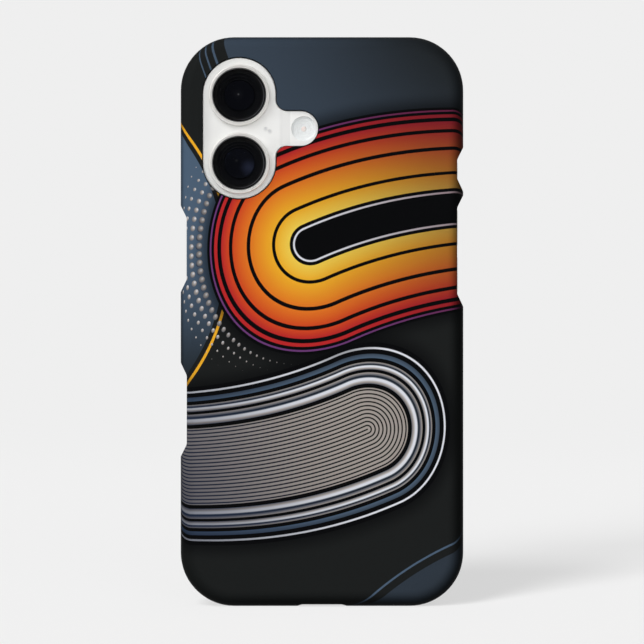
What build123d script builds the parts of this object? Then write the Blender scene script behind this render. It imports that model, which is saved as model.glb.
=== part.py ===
"""A slab smartphone held in a thin hard clip-on case, standing on its bottom edge.

Sizes are in millimetres. The pieces are modelled lying flat: x runs to the right as seen from
behind, y towards the top edge and z out of the back, with x = y = 0 at the middle of the phone
and z = 0 on its back glass. stand_up() then turns every piece upright, back panel towards -Y,
with the origin under the middle of the whole thing.
"""

from build123d import *
import os

# ---- phone ----
PHONE_H = 147.6
PHONE_W = 71.6
PHONE_T = 7.8
PHONE_CORNER = 12.5  # corner radius seen from behind
EDGE_R = 1.4  # rounding of the band's front and back edges
GLASS_LAND = 0.15  # flat of the band between its rounding and the glass
LEDGE_W = 1.2  # ledge of the band under each glass
SEAL_W = 0.12  # rubber line between glass and band
SEAL_SINK = 0.08  # how far that line lies below the glass
BACK_GLASS_T = 0.7
FRONT_GLASS_T = 0.8
INK_T = 0.1  # black border layer under the front glass
INK_W = 1.9  # its width inwards from the edge of the glass
SCREEN_T = 1.3
SCREEN_ROOM = 0.1  # between the screen and the band
MID_T = 0.8  # plate across the middle of the band
MID_ROOM = 0.3  # between that plate and the screen
FIT = 0.03  # clearance of a piece let into another

# ---- case ----
WALL = 1.6  # side walls
PANEL = 1.3  # back panel
SIDE_ROOM = 0.13  # between phone and side wall
BACK_ROOM = 0.1  # between phone and back panel
CASE_BACK_R = 3.0  # rounding of the outer back edge
CASE_LIP_R = 0.5  # rounding of the outer front edge
LIP_PROUD = 0.5  # how far the lip stands in front of the screen
LIP_ROOM = 0.05  # between the lip and the phone's front
LIP_OVER = 0.45  # how far the lip reaches over the phone's edge
NOTCH_RAMP = 3.4  # length of each sloped end of a side notch
NOTCH_SOFT = 2.0  # rounding between a notch's floor and its slopes
BUTTON_ROOM = 0.4  # from a button's end to the end of its notch's floor
PORT_W = 13.3  # notch at the charging port
PORT_CORNER = 1.8
PORT_BACK = 0.15  # how far that notch reaches behind the back glass
SPEAKER_SLOT_ROOM = 0.9  # from the sound holes to the edge of their slot in the case
RIM_R = 0.3  # rounding of the camera opening's rim

# ---- camera ----
CAM_SIDE = 13.95  # lens line, in from the phone's edge
CAM_DROP = 22.67  # middle of the opening, below the phone's top
LENS_DROP = 0.29  # middle between the lenses, below the opening's
LENS_PITCH = 18.0
OPENING_R = 9.7  # round ends of the case's opening
ARM_REACH = 20.8  # flash arm of the opening, out from the lens line
ARM_H = 9.24
ARM_FILLET = 3.0
PLATEAU_ROOM = 0.1  # between the raised island and the opening
PLATEAU_T = 1.3
PLATEAU_REACH = 10.8  # straight end of the island's top, out from the lens line
PLATEAU_RAMP = 2.6  # length of the slope from there down to the back glass
PLATEAU_SOFT = 0.4  # rounding of its top edge
RING_R = 8.07
RING_T = 1.9
RING_SOFT = 0.35
RING_BEVEL = 0.15  # bevel of its inner top edge
COVER_R = 7.16  # clear disc over each lens
COVER_T = 0.9
COVER_SINK = 0.25
SEAT_W = 0.5  # seat of the disc in its ring
BARREL_DEEP = 3.2  # barrel's floor, below the back glass
BAFFLE_T = 0.55
BAFFLE_STEP = 0.75
BAFFLES = 4
ELEMENT_R = 3.3
ELEMENT_T = 0.7
ELEMENT_CROWN = 0.55
FLASH_SIDE = 17.0  # flash, out from the lens line
FLASH_R = 3.25
CUP_WALL = 0.3
CUP_T = 1.5
CUP_FLOOR = 0.4
LED_W = 0.62
LED_H = 0.85
LED_T = 0.35
LED_PITCH = 0.7  # between the warm and the cool light source
MIC_SIDE = 6.9  # first sound hole, out from the lens line
MIC_STEP_X = 1.07
MIC_STEP_Y = -0.64
MIC_R = 0.36
MIC_SINK = 0.15
MIC_T = 0.25

# ---- buttons: length, and middle below the phone's top ----
BUTTON_W = 2.6
BUTTON_IN = 1.3
BUTTON_SOFT = 0.25
BUTTON_PROUD = 0.35
ACTION_L = 4.3
ACTION_DROP = 33.47
VOLUME_L = 9.6
VOLUME_GAP = 2.9
VOLUME_DROP = 55.07
SIDE_L = 15.5
SIDE_DROP = 54.52
CONTROL_L = 17.5
CONTROL_DROP = 97.17

# ---- front ----
EAR_L = 9.0
EAR_W = 0.5
EAR_DROP = 0.55  # below the top of the front glass
EAR_T = 0.5
PILL_L = 18.0
PILL_W = 5.4
PILL_DROP = 5.2  # middle below the top of the screen
LENS_FRONT_R = 1.7
LENS_FRONT_SIDE = 5.6

# ---- bottom edge ----
USB_W = 9.0
USB_H = 3.2
USB_DEEP = 6.6
USB_WALL = 0.32
TONGUE_W = 6.5
TONGUE_T = 0.7
TONGUE_SINK = 0.9  # tongue's tip, in from the mouth
HOLE_R = 0.6
HOLE_PITCH = 2.0
HOLES = 5
SOUND_SIDE = 16.3  # middle of each row of holes
MESH_T = 0.3
MESH_ROOM = 0.4  # mesh beyond the holes
SCREW_SIDE = 8.2
SCREW_R = 0.75
SCREW_T = 1.5
SCREW_STAR_R = 0.42
SCREW_STAR_DEEP = 0.5

# ---- inside and band ----
STRIP_W = 1.1
STRIP_DEEP = 0.5
STRIP_DROP = 17.0  # from the phone's top and from its bottom
BATTERY_W = 44.0
BATTERY_RISE = 14.0  # battery's lower edge, above the phone's bottom
BATTERY_BELOW = 5.5  # battery's upper edge, below the lower lens's barrel
BATTERY_ROOM = 0.3
BATTERY_CORNER = 2.0

# ---- levels along z ----
Z_FRONT = -PHONE_T
Z_MIDDLE = -PHONE_T / 2
Z_LIP = Z_FRONT - LIP_PROUD
Z_PANEL_IN = BACK_ROOM
Z_PANEL_OUT = BACK_ROOM + PANEL
Z_RING = PLATEAU_T + RING_T
Z_INK = Z_FRONT + FRONT_GLASS_T
Z_SCREEN = Z_INK + INK_T
Z_MID_FRONT = Z_SCREEN + SCREEN_T + MID_ROOM
Z_MID_BACK = Z_MID_FRONT + MID_T
Z_COVER = Z_RING - COVER_SINK - COVER_T

# ---- derived ----
AROUND = WALL + SIDE_ROOM  # case outline beyond the phone's
CASE_H = PHONE_H + 2 * AROUND
CASE_W = PHONE_W + 2 * AROUND
GLASS_INSET = EDGE_R + GLASS_LAND
BAND_INSET = GLASS_INSET + LEDGE_W
CAM_X = -PHONE_W / 2 + CAM_SIDE
CAM_Y = PHONE_H / 2 - CAM_DROP
PHONE_BOTTOM = -PHONE_H / 2
PHONE_TOP = PHONE_H / 2
VOLUME_SPAN = 2 * VOLUME_L + VOLUME_GAP
ROW_L = (HOLES - 1) * HOLE_PITCH + 2 * HOLE_R
BARREL_R = COVER_R - SEAT_W - FIT
PAST = 1.0  # how far a cut runs past the faces it opens
LEFT, RIGHT = -1, 1


# ---- shapes used by several pieces ----
def outline(inset):
    """The phone's outline moved inwards by inset, or outwards where it is negative."""
    return RectangleRounded(PHONE_W - 2 * inset, PHONE_H - 2 * inset, PHONE_CORNER - inset)


def slab(inset, z_low, z_high):
    """A plate of that outline between two levels."""
    return extrude(Pos(0, 0, z_low) * outline(inset), amount=z_high - z_low)


def soften(solid, back_r, front_r):
    """Rounds the outer edges of a plate's back face and front face."""
    solid = fillet(solid.faces().sort_by(Axis.Z)[-1].edges(), back_r)
    return fillet(solid.faces().sort_by(Axis.Z)[0].edges(), front_r)


def disc(radius, z_low, z_high, x=0.0, y=0.0):
    """A round plate between two levels."""
    return extrude(Pos(x, y, z_low) * Circle(radius), amount=z_high - z_low)


def side_slot(side, length, width, drop, x_in, x_out):
    """A round-ended bar that runs through a side of the phone, from x_in to x_out."""
    plane = Plane(
        origin=(side * x_in, PHONE_TOP - drop, Z_MIDDLE), x_dir=(0, 1, 0), z_dir=(side, 0, 0)
    )
    return extrude(plane * SlotOverall(length, width), amount=x_out - x_in)


def end_slot(length, width, x, y_low, y_high):
    """A round-ended bar that runs through the bottom end, from y_low to y_high."""
    plane = Plane(origin=(x, y_low, Z_MIDDLE), x_dir=(1, 0, 0), z_dir=(0, 1, 0))
    return extrude(plane * SlotOverall(length, width), amount=y_high - y_low)


def end_hole(radius, x, y_low, y_high):
    """A round bar that runs through the bottom end."""
    plane = Plane(origin=(x, y_low, Z_MIDDLE), x_dir=(1, 0, 0), z_dir=(0, 1, 0))
    return extrude(plane * Circle(radius), amount=y_high - y_low)


def envelope():
    """The phone's whole outer form, without its camera island."""
    return soften(slab(0, Z_FRONT, 0), EDGE_R, EDGE_R)


def camera_outline(inset):
    """The camera opening, a tall pill with an arm for the flash, moved inwards by inset."""
    radius = OPENING_R - inset
    height = ARM_H - 2 * inset
    reach = ARM_REACH - inset
    pill = Rot(0, 0, 90) * SlotOverall(LENS_PITCH + 2 * radius, 2 * radius)
    both = pill + Pos(reach / 2, 0) * SlotOverall(reach, height)
    corners = both.vertices().filter_by(
        lambda v: abs(v.X - radius) < 1e-4 and abs(abs(v.Y) - height / 2) < 1e-4
    )
    straight = (LENS_PITCH - height) / 2
    return fillet(corners, min(ARM_FILLET + inset, 0.9 * straight))


# ---- case ----
def side_notch(side, floor_l, drop):
    """The cut for a button: its floor level with the phone's side, with a slope at each end."""
    slope = NOTCH_RAMP / AROUND
    run = NOTCH_RAMP + slope * PAST
    points = [
        (-floor_l / 2 - run, AROUND + PAST),
        (-floor_l / 2, 0),
        (floor_l / 2, 0),
        (floor_l / 2 + run, AROUND + PAST),
    ]
    shape = make_face(Polyline(*points, close=True))
    floor = shape.vertices().sort_by(Axis.Y)[:2]
    shape = fillet(floor, NOTCH_SOFT)
    turn = Rot(0, 0, -90 if side == RIGHT else 90)
    seat = Pos(side * PHONE_W / 2, PHONE_TOP - drop, Z_LIP - PAST)
    through = extrude(seat * turn * shape, amount=Z_PANEL_OUT - Z_LIP + 2 * PAST)
    deeper = Pos(-side * (LIP_OVER + PAST), 0, 0) * seat * turn * shape
    return through + extrude(deeper, amount=PAST + LIP_PROUD + EDGE_R)


def port_notch():
    """The cut for a charging plug, open towards the front, through the bottom wall."""
    height = PORT_BACK - Z_LIP + PAST
    middle = PORT_BACK - height / 2
    plane = Plane(origin=(0, PHONE_BOTTOM, middle), x_dir=(1, 0, 0), z_dir=(0, -1, 0))
    shape = plane * Rectangle(PORT_W, height)
    back = shape.vertices().sort_by(Axis.Z)[-2:]
    through = extrude(fillet(back, PORT_CORNER), amount=AROUND + PAST)
    lip_h = PAST + LIP_PROUD + EDGE_R
    lip = Pos(0, PHONE_BOTTOM + LIP_OVER, Z_LIP - PAST + lip_h / 2)
    return through + lip * Box(PORT_W, 2 * (LIP_OVER + PAST), lip_h)


def case_shell():
    """The one moulded shell: back panel, walls all round and a lip that clips over the phone."""
    shell = soften(slab(-AROUND, Z_LIP, Z_PANEL_OUT), CASE_BACK_R, CASE_LIP_R)
    hollow = slab(-SIDE_ROOM, Z_FRONT - LIP_ROOM, Z_PANEL_IN)
    shell -= soften(hollow, EDGE_R - SIDE_ROOM / 2, EDGE_R - SIDE_ROOM / 2)
    shell -= slab(LIP_OVER, Z_LIP - PAST, Z_MIDDLE)
    cam = extrude(Pos(CAM_X, CAM_Y, Z_MIDDLE) * camera_outline(0), amount=PHONE_T + PANEL)
    shell -= cam
    rim = shell.edges().filter_by_position(Axis.Z, Z_PANEL_OUT - 1e-4, Z_PANEL_OUT + 1e-4)
    low, high = CAM_X - OPENING_R - PAST, CAM_X + ARM_REACH + PAST
    near = CAM_Y - LENS_PITCH / 2 - OPENING_R - PAST
    rim = rim.filter_by(
        lambda e: low < e.center().X < high and near < e.center().Y < PHONE_TOP - EDGE_R
    )
    shell = fillet(rim, RIM_R)
    for side, length, drop in (
        (RIGHT, ACTION_L, ACTION_DROP),
        (RIGHT, VOLUME_SPAN, VOLUME_DROP),
        (LEFT, SIDE_L, SIDE_DROP),
        (LEFT, CONTROL_L, CONTROL_DROP),
    ):
        shell -= side_notch(side, length + 2 * BUTTON_ROOM, drop)
    shell -= port_notch()
    for side in (LEFT, RIGHT):
        shell -= end_slot(
            ROW_L + 2 * SPEAKER_SLOT_ROOM,
            2 * (HOLE_R + SPEAKER_SLOT_ROOM),
            side * SOUND_SIDE,
            PHONE_BOTTOM - AROUND - PAST,
            PHONE_BOTTOM,
        )
    return shell


# ---- band and what is let into it ----
def buttons():
    """Each button's name, side, length, middle below the top and how far it stands out."""
    half = (VOLUME_L + VOLUME_GAP) / 2
    return [
        ("action_button", RIGHT, ACTION_L, ACTION_DROP, BUTTON_PROUD),
        ("volume_up_button", RIGHT, VOLUME_L, VOLUME_DROP - half, BUTTON_PROUD),
        ("volume_down_button", RIGHT, VOLUME_L, VOLUME_DROP + half, BUTTON_PROUD),
        ("side_button", LEFT, SIDE_L, SIDE_DROP, BUTTON_PROUD),
        ("camera_control", LEFT, CONTROL_L, CONTROL_DROP, 0.0),
    ]


def antenna_strip(side, end):
    """A moulded line let into the outside of the band."""
    skin = envelope() - slab(STRIP_DEEP, Z_FRONT - PAST, PAST)
    y = end * (PHONE_TOP - STRIP_DROP)
    x = side * PHONE_W / 2
    return skin & Pos(x, y, Z_MIDDLE) * Box(2 * PHONE_CORNER, STRIP_W, PHONE_T + 2 * PAST)


def strips():
    """Each antenna strip's name, side and end."""
    return [
        (f"antenna_strip_{across}_{along}", side, end)
        for across, side in (("left", LEFT), ("right", RIGHT))
        for along, end in (("lower", -1), ("upper", 1))
    ]


def sound_holes(side, y_low, y_high):
    """A row of round holes in the bottom end."""
    row = Part()
    for i in range(HOLES):
        x = side * SOUND_SIDE + (i - (HOLES - 1) / 2) * HOLE_PITCH
        row += end_hole(HOLE_R, x, y_low, y_high)
    return row


def phone_frame():
    """The aluminium band, with a ledge for each glass and every opening in its edge."""
    band = envelope() - slab(BAND_INSET, Z_FRONT - PAST, PAST)
    band -= slab(GLASS_INSET, -BACK_GLASS_T, PAST)
    band -= slab(GLASS_INSET, Z_FRONT - PAST, Z_SCREEN)
    for _, side, length, drop, _ in buttons():
        x_in = PHONE_W / 2 - BUTTON_IN
        band -= side_slot(
            side, length + 2 * FIT, BUTTON_W + 2 * FIT, drop, x_in, PHONE_W / 2 + PAST
        )
    for _, side, end in strips():
        band -= antenna_strip(side, end)
    inner = PHONE_BOTTOM + BAND_INSET
    band -= end_slot(USB_W + 2 * FIT, USB_H + 2 * FIT, 0, PHONE_BOTTOM - PAST, inner + PAST)
    for side in (LEFT, RIGHT):
        band -= sound_holes(side, PHONE_BOTTOM - PAST, inner + PAST)
        band -= end_hole(
            SCREW_R + FIT, side * SCREW_SIDE, PHONE_BOTTOM - PAST, PHONE_BOTTOM + SCREW_T
        )
    return band


def button(side, length, drop, proud):
    """A round-ended key with softened outer edges."""
    key = side_slot(side, length, BUTTON_W, drop, PHONE_W / 2 - BUTTON_IN, PHONE_W / 2 + proud)
    outer = key.faces().sort_by(Axis.X)[-1 if side == RIGHT else 0]
    return fillet(outer.edges(), BUTTON_SOFT)


def seal(z_low, z_high):
    """The rubber line round a glass."""
    return slab(GLASS_INSET, z_low, z_high) - slab(GLASS_INSET + SEAL_W, z_low, z_high)


def mid_plate():
    """The plate across the band that carries the battery."""
    plate = slab(BAND_INSET + FIT, Z_MID_FRONT, Z_MID_BACK)
    plate -= end_slot(
        USB_W + 2 * FIT, USB_H + 2 * FIT, 0, PHONE_BOTTOM, PHONE_BOTTOM + USB_DEEP + FIT
    )
    return plate - sound_mesh(LEFT, FIT) - sound_mesh(RIGHT, FIT)


def battery():
    """The battery pack, on the middle plate."""
    low = PHONE_BOTTOM + BATTERY_RISE
    high = CAM_Y - LENS_DROP - LENS_PITCH / 2 - BARREL_R - BATTERY_BELOW
    shape = RectangleRounded(BATTERY_W, high - low, BATTERY_CORNER)
    thickness = -BACK_GLASS_T - BATTERY_ROOM - Z_MID_BACK
    return extrude(Pos(0, (low + high) / 2, Z_MID_BACK) * shape, amount=thickness)


# ---- back glass and cameras ----
def lens_places():
    """Each lens's name and middle."""
    return [
        ("upper", CAM_X, CAM_Y - LENS_DROP + LENS_PITCH / 2),
        ("lower", CAM_X, CAM_Y - LENS_DROP - LENS_PITCH / 2),
    ]


def mic_places():
    """The middles of the two small sound holes beside the lenses."""
    x = CAM_X + MIC_SIDE
    return [("first", x, CAM_Y), ("second", x + MIC_STEP_X, CAM_Y + MIC_STEP_Y)]


def ramp_room(tall):
    """The room above the slope that leads from the island's top down to the back glass."""
    crest, foot = PLATEAU_REACH, PLATEAU_REACH + PLATEAU_RAMP
    high = PLATEAU_T + PAST
    side = Plane(origin=(CAM_X, CAM_Y + tall / 2, 0), x_dir=(1, 0, 0), z_dir=(0, -1, 0))
    above = Polygon(
        (crest - PAST * PLATEAU_RAMP / PLATEAU_T, high), (foot, 0), (foot, high), align=None
    )
    return extrude(side * above, amount=tall)


def back_glass():
    """The back glass, milled in one with its raised camera island."""
    reach = PLATEAU_REACH + PLATEAU_RAMP
    tall = LENS_PITCH + 2 * OPENING_R
    shape = camera_outline(PLATEAU_ROOM) & Rectangle(2 * reach, tall)
    island = extrude(
        Pos(CAM_X, CAM_Y, -BACK_GLASS_T) * shape, amount=BACK_GLASS_T + PLATEAU_T
    )
    island -= ramp_room(tall)
    island = fillet(island.faces().sort_by(Axis.Z)[-1].edges(), PLATEAU_SOFT)
    glass = slab(GLASS_INSET + SEAL_W, -BACK_GLASS_T, 0) + island
    for _, x, y in lens_places():
        glass -= disc(BARREL_R + FIT, -BACK_GLASS_T - PAST, PLATEAU_T + PAST, x, y)
    glass -= disc(FLASH_R + FIT, -BACK_GLASS_T - PAST, PAST, CAM_X + FLASH_SIDE, CAM_Y)
    for _, x, y in mic_places():
        glass -= disc(MIC_R, PLATEAU_T - MIC_SINK - MIC_T, PLATEAU_T + PAST, x, y)
    return glass


def lens_ring(x, y):
    """The metal bezel that stands on the island round a lens."""
    ring = disc(RING_R, PLATEAU_T, Z_RING, x, y)
    ring = fillet(ring.faces().sort_by(Axis.Z)[-1].edges(), RING_SOFT)
    ring -= disc(COVER_R + FIT, Z_COVER, Z_RING + PAST, x, y)
    mouth = ring.faces().sort_by(Axis.Z)[-1].inner_wires()[0].edges()
    ring = chamfer(mouth, RING_BEVEL)
    return ring - disc(BARREL_R + FIT, PLATEAU_T - PAST, Z_COVER + PAST, x, y)


def lens_barrel(x, y):
    """The black barrel behind the clear disc, stepped inwards by its baffles."""
    barrel = disc(BARREL_R, -BARREL_DEEP, Z_COVER, x, y)
    for i in range(BAFFLES):
        top = Z_COVER - i * BAFFLE_T
        barrel -= disc(BARREL_R - (i + 1) * BAFFLE_STEP, top - BAFFLE_T, Z_COVER + PAST, x, y)
    low = Z_COVER - BAFFLES * BAFFLE_T
    return barrel - disc(ELEMENT_R + FIT, low - ELEMENT_T, low + PAST, x, y)


def lens_element(x, y):
    """The front glass of the lens, with a crowned face."""
    low = Z_COVER - BAFFLES * BAFFLE_T - ELEMENT_T
    ball_r = (ELEMENT_R**2 + ELEMENT_CROWN**2) / (2 * ELEMENT_CROWN)
    top = low + ELEMENT_T + ELEMENT_CROWN
    ball = Pos(x, y, top - ball_r) * Sphere(ball_r)
    return disc(ELEMENT_R, low, top, x, y) & ball


def flash_lens():
    """The clear window of the flash, flush with the back glass."""
    return disc(FLASH_R, -BACK_GLASS_T, 0, CAM_X + FLASH_SIDE, CAM_Y)


def flash_cup():
    """The white reflector behind that window."""
    x, y = CAM_X + FLASH_SIDE, CAM_Y
    low = -BACK_GLASS_T - CUP_T
    cup = disc(FLASH_R + CUP_WALL, low, -BACK_GLASS_T, x, y)
    deep = CUP_T - CUP_FLOOR
    cone = Cone(LED_PITCH + LED_W, FLASH_R, deep, align=(Align.CENTER, Align.CENTER, Align.MIN))
    return cup - Pos(x, y, low + CUP_FLOOR) * cone


def flash_led(side):
    """One of the two light sources, on the reflector's floor."""
    x = CAM_X + FLASH_SIDE + side * LED_PITCH / 2
    low = -BACK_GLASS_T - CUP_T + CUP_FLOOR
    return Pos(x, CAM_Y, low + LED_T / 2) * Box(LED_W, LED_H, LED_T)


def rear_mic_mesh(x, y):
    """The grille at the bottom of a sound hole."""
    low = PLATEAU_T - MIC_SINK - MIC_T
    return disc(MIC_R, low, low + MIC_T, x, y)


# ---- front ----
def ear_slot(z_low, z_high):
    """The slot of the earpiece, near the top of the front glass."""
    y = PHONE_TOP - GLASS_INSET - SEAL_W - EAR_DROP - EAR_W / 2
    return extrude(Pos(0, y, z_low) * SlotOverall(EAR_L, EAR_W), amount=z_high - z_low)


def front_glass():
    """The cover glass of the screen, with the earpiece slot."""
    glass = slab(GLASS_INSET + SEAL_W, Z_FRONT, Z_INK)
    return glass - ear_slot(Z_FRONT - PAST, Z_FRONT + EAR_T)


def earpiece_mesh():
    """The grille in the earpiece slot."""
    return ear_slot(Z_FRONT + EAR_T / 2, Z_FRONT + EAR_T)


def ink_border():
    """The black layer round the screen, under the glass."""
    inset = GLASS_INSET + SEAL_W
    return slab(inset, Z_INK, Z_SCREEN) - slab(inset + INK_W, Z_INK, Z_SCREEN)


def sensor_pill():
    """The black island for the front camera, under the glass."""
    y = PHONE_TOP - GLASS_INSET - SEAL_W - INK_W - PILL_DROP
    pill = extrude(Pos(0, y, Z_INK) * SlotOverall(PILL_L, PILL_W), amount=INK_T)
    return pill - disc(LENS_FRONT_R, Z_INK - PAST, Z_SCREEN + PAST, LENS_FRONT_SIDE, y)


def front_lens():
    """The front camera's eye."""
    y = PHONE_TOP - GLASS_INSET - SEAL_W - INK_W - PILL_DROP
    return disc(LENS_FRONT_R, Z_INK, Z_SCREEN, LENS_FRONT_SIDE, y)


def screen():
    """The display module."""
    return slab(BAND_INSET + SCREEN_ROOM, Z_SCREEN, Z_SCREEN + SCREEN_T)


# ---- bottom end ----
def usb_shell():
    """The steel shell of the charging socket, closed at its inner end."""
    shell = end_slot(USB_W, USB_H, 0, PHONE_BOTTOM, PHONE_BOTTOM + USB_DEEP)
    hollow_w, hollow_h = USB_W - 2 * USB_WALL, USB_H - 2 * USB_WALL
    floor = PHONE_BOTTOM + USB_DEEP - 2 * USB_WALL
    return shell - end_slot(hollow_w, hollow_h, 0, PHONE_BOTTOM - PAST, floor)


def usb_tongue():
    """The contact tongue inside the socket."""
    length = USB_DEEP - 2 * USB_WALL - TONGUE_SINK
    y = PHONE_BOTTOM + TONGUE_SINK + length / 2
    return Pos(0, y, Z_MIDDLE) * Box(TONGUE_W, length, TONGUE_T)


def sound_mesh(side, room=0.0):
    """The grille behind a row of sound holes, against the inside of the band."""
    inner = PHONE_BOTTOM + BAND_INSET
    over = MESH_ROOM + room
    return end_slot(
        ROW_L + 2 * over, 2 * (HOLE_R + over), side * SOUND_SIDE, inner, inner + MESH_T + room
    )


def bottom_screw(side):
    """A screw in the bottom end, with a five-sided drive."""
    x = side * SCREW_SIDE
    screw = end_hole(SCREW_R, x, PHONE_BOTTOM, PHONE_BOTTOM + SCREW_T)
    plane = Plane(origin=(x, PHONE_BOTTOM - PAST, Z_MIDDLE), x_dir=(1, 0, 0), z_dir=(0, 1, 0))
    star = plane * RegularPolygon(SCREW_STAR_R, 5)
    return screw - extrude(star, amount=PAST + SCREW_STAR_DEEP)


def stand_up(piece):
    """Turns a flat-lying piece upright over the middle of the standing object's base."""
    depth_middle = (Z_RING + Z_LIP) / 2
    return Pos(0, depth_middle, CASE_H / 2) * Rot(90, 0, 0) * piece


def pieces():
    """Every piece by name, still lying flat."""
    made = {
        "case_shell": case_shell(),
        "phone_frame": phone_frame(),
        "mid_plate": mid_plate(),
        "battery": battery(),
        "back_glass": back_glass(),
        "back_seal": seal(-BACK_GLASS_T, -SEAL_SINK),
        "flash_lens": flash_lens(),
        "flash_cup": flash_cup(),
        "flash_led_warm": flash_led(LEFT),
        "flash_led_cool": flash_led(RIGHT),
        "front_glass": front_glass(),
        "front_seal": seal(Z_FRONT + SEAL_SINK, Z_SCREEN),
        "earpiece_mesh": earpiece_mesh(),
        "ink_border": ink_border(),
        "sensor_pill": sensor_pill(),
        "front_lens": front_lens(),
        "screen": screen(),
        "usb_shell": usb_shell(),
        "usb_tongue": usb_tongue(),
    }
    for name, side, length, drop, proud in buttons():
        made[name] = button(side, length, drop, proud)
    for name, side, end in strips():
        made[name] = antenna_strip(side, end)
    for name, x, y in lens_places():
        made[f"lens_ring_{name}"] = lens_ring(x, y)
        made[f"lens_cover_{name}"] = disc(COVER_R, Z_COVER, Z_COVER + COVER_T, x, y)
        made[f"lens_barrel_{name}"] = lens_barrel(x, y)
        made[f"lens_element_{name}"] = lens_element(x, y)
    for name, x, y in mic_places():
        made[f"rear_mic_mesh_{name}"] = rear_mic_mesh(x, y)
    for name, side in (("left", LEFT), ("right", RIGHT)):
        made[f"sound_mesh_{name}"] = sound_mesh(side)
        made[f"bottom_screw_{name}"] = bottom_screw(side)
    return made


os.makedirs("parts", exist_ok=True)
for name, piece in pieces().items():
    export_step(stand_up(piece), f"parts/{name}.step")
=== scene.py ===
"""Dresses a white telephone in a thin printed hard case, and puts it in a plain studio.

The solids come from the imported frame. This file gives every one of them its finish,
prints the back of the case with sweeps of retro stripes, and adds the small pieces
that the solids leave out: lens groups, flash ridges and socket contacts.
Lengths are in millimetres, in the frame: x to the right seen from the back, y from back
to front, z up. They turn into metres where a mesh is made. The studio is in metres.
"""

import logging
import math
from dataclasses import dataclass
from enum import Enum
from typing import Dict, List, Sequence, Tuple, Union

import bmesh
import bpy
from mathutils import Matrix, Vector


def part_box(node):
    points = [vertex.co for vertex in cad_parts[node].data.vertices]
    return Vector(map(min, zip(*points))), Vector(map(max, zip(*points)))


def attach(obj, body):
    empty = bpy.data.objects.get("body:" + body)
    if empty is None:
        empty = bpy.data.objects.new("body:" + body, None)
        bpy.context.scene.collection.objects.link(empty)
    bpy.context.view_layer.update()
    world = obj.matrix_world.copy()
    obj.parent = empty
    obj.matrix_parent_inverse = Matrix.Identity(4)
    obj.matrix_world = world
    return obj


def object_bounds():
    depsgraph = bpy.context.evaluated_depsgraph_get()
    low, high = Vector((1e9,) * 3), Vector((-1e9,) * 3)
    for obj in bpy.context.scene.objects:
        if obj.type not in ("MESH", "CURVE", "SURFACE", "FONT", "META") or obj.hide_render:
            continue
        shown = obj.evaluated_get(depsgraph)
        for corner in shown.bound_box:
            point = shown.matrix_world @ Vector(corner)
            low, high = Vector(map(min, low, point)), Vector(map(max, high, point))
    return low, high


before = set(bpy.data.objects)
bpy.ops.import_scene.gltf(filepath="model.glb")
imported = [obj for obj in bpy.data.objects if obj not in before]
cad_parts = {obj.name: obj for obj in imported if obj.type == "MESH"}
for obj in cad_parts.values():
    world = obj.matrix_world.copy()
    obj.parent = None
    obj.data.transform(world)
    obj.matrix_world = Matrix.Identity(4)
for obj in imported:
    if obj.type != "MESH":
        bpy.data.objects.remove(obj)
CAD_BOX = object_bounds()

LOG = logging.getLogger("printed_case")
MM = 0.001
BODY = "root"

Pair = Tuple[float, float]
Point = Tuple[float, float, float]
Colour = Tuple[float, float, float]
Profile = Tuple[Pair, ...]


def swatch(red: float, green: float, blue: float) -> Colour:
    """A linear colour from a paint swatch whose channels run from 0 to 255.

    Args:
        red: Red channel.
        green: Green channel.
        blue: Blue channel.

    Returns:
        The same colour as linear light.
    """

    def linear(channel: float) -> float:
        """One channel as linear light."""
        part = channel / 255
        return part / 12.92 if part <= 0.04045 else ((part + 0.055) / 1.055) ** 2.4

    return linear(red), linear(green), linear(blue)


def even(value: float) -> Colour:
    """A linear grey."""
    return value, value, value


class Ink(Enum):
    """The inks of the case's print."""

    CHARCOAL = swatch(31, 33, 33)
    COAL = swatch(10, 11, 13)
    BLACK = swatch(3, 4, 4)
    SLATE = swatch(62, 74, 88)
    STEEL = swatch(80, 99, 120)
    NAVY = swatch(33, 44, 68)
    YELLOW = swatch(250, 214, 84)
    GOLD = swatch(245, 178, 44)
    ORANGE = swatch(232, 122, 38)
    FIRE = swatch(214, 74, 36)
    RED = swatch(190, 42, 44)
    WINE = swatch(98, 26, 38)
    PLUM = swatch(110, 62, 120)
    SILVER = swatch(226, 228, 236)
    ASH = swatch(168, 160, 154)
    LEAD = swatch(96, 100, 110)


# ---------------------------------------------------------------- shapes to print round
def axis_of(node: str) -> Pair:
    """A round CAD node's axis, which runs from back to front: its x and z."""
    low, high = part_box(node)
    return (low[0] + high[0]) / 2 / MM, (low[2] + high[2]) / 2 / MM


@dataclass(frozen=True)
class CaseShape:
    """The case's outline, a rounded box.

    Attributes:
        width, height: Its size over all.
        corner: Radius of its corners, seen from the back.
        edge: Radius of the edge between its back and its side walls.
        back_y: Where the outer face of its back lies.
    """

    width: float = (CAD_BOX[1].x - CAD_BOX[0].x) / MM
    height: float = CAD_BOX[1].z / MM
    corner: float = 14.23
    edge: float = 3.0
    back_y: float = -3.95


CASE = CaseShape()


@dataclass(frozen=True)
class CameraOpening:
    """The case's opening for the camera: a tall pill with an arm for the flash.

    Attributes:
        half: Half its height between the pill's round ends.
        radius: Radius of those ends.
        arm_x: Middle of the arm's round end.
        arm_radius: Radius of that end.
        joint: How softly the arm runs into the pill.
    """

    half: float = 9.0
    radius: float = 9.7
    arm_x: float = -5.67
    arm_radius: float = 4.62
    joint: float = 3.0

    @property
    def middle(self) -> Pair:
        """Its middle's x and z: under the lenses' line, level with the flash."""
        return axis_of("lens_cover_upper")[0], axis_of("flash_lens")[1]


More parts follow.
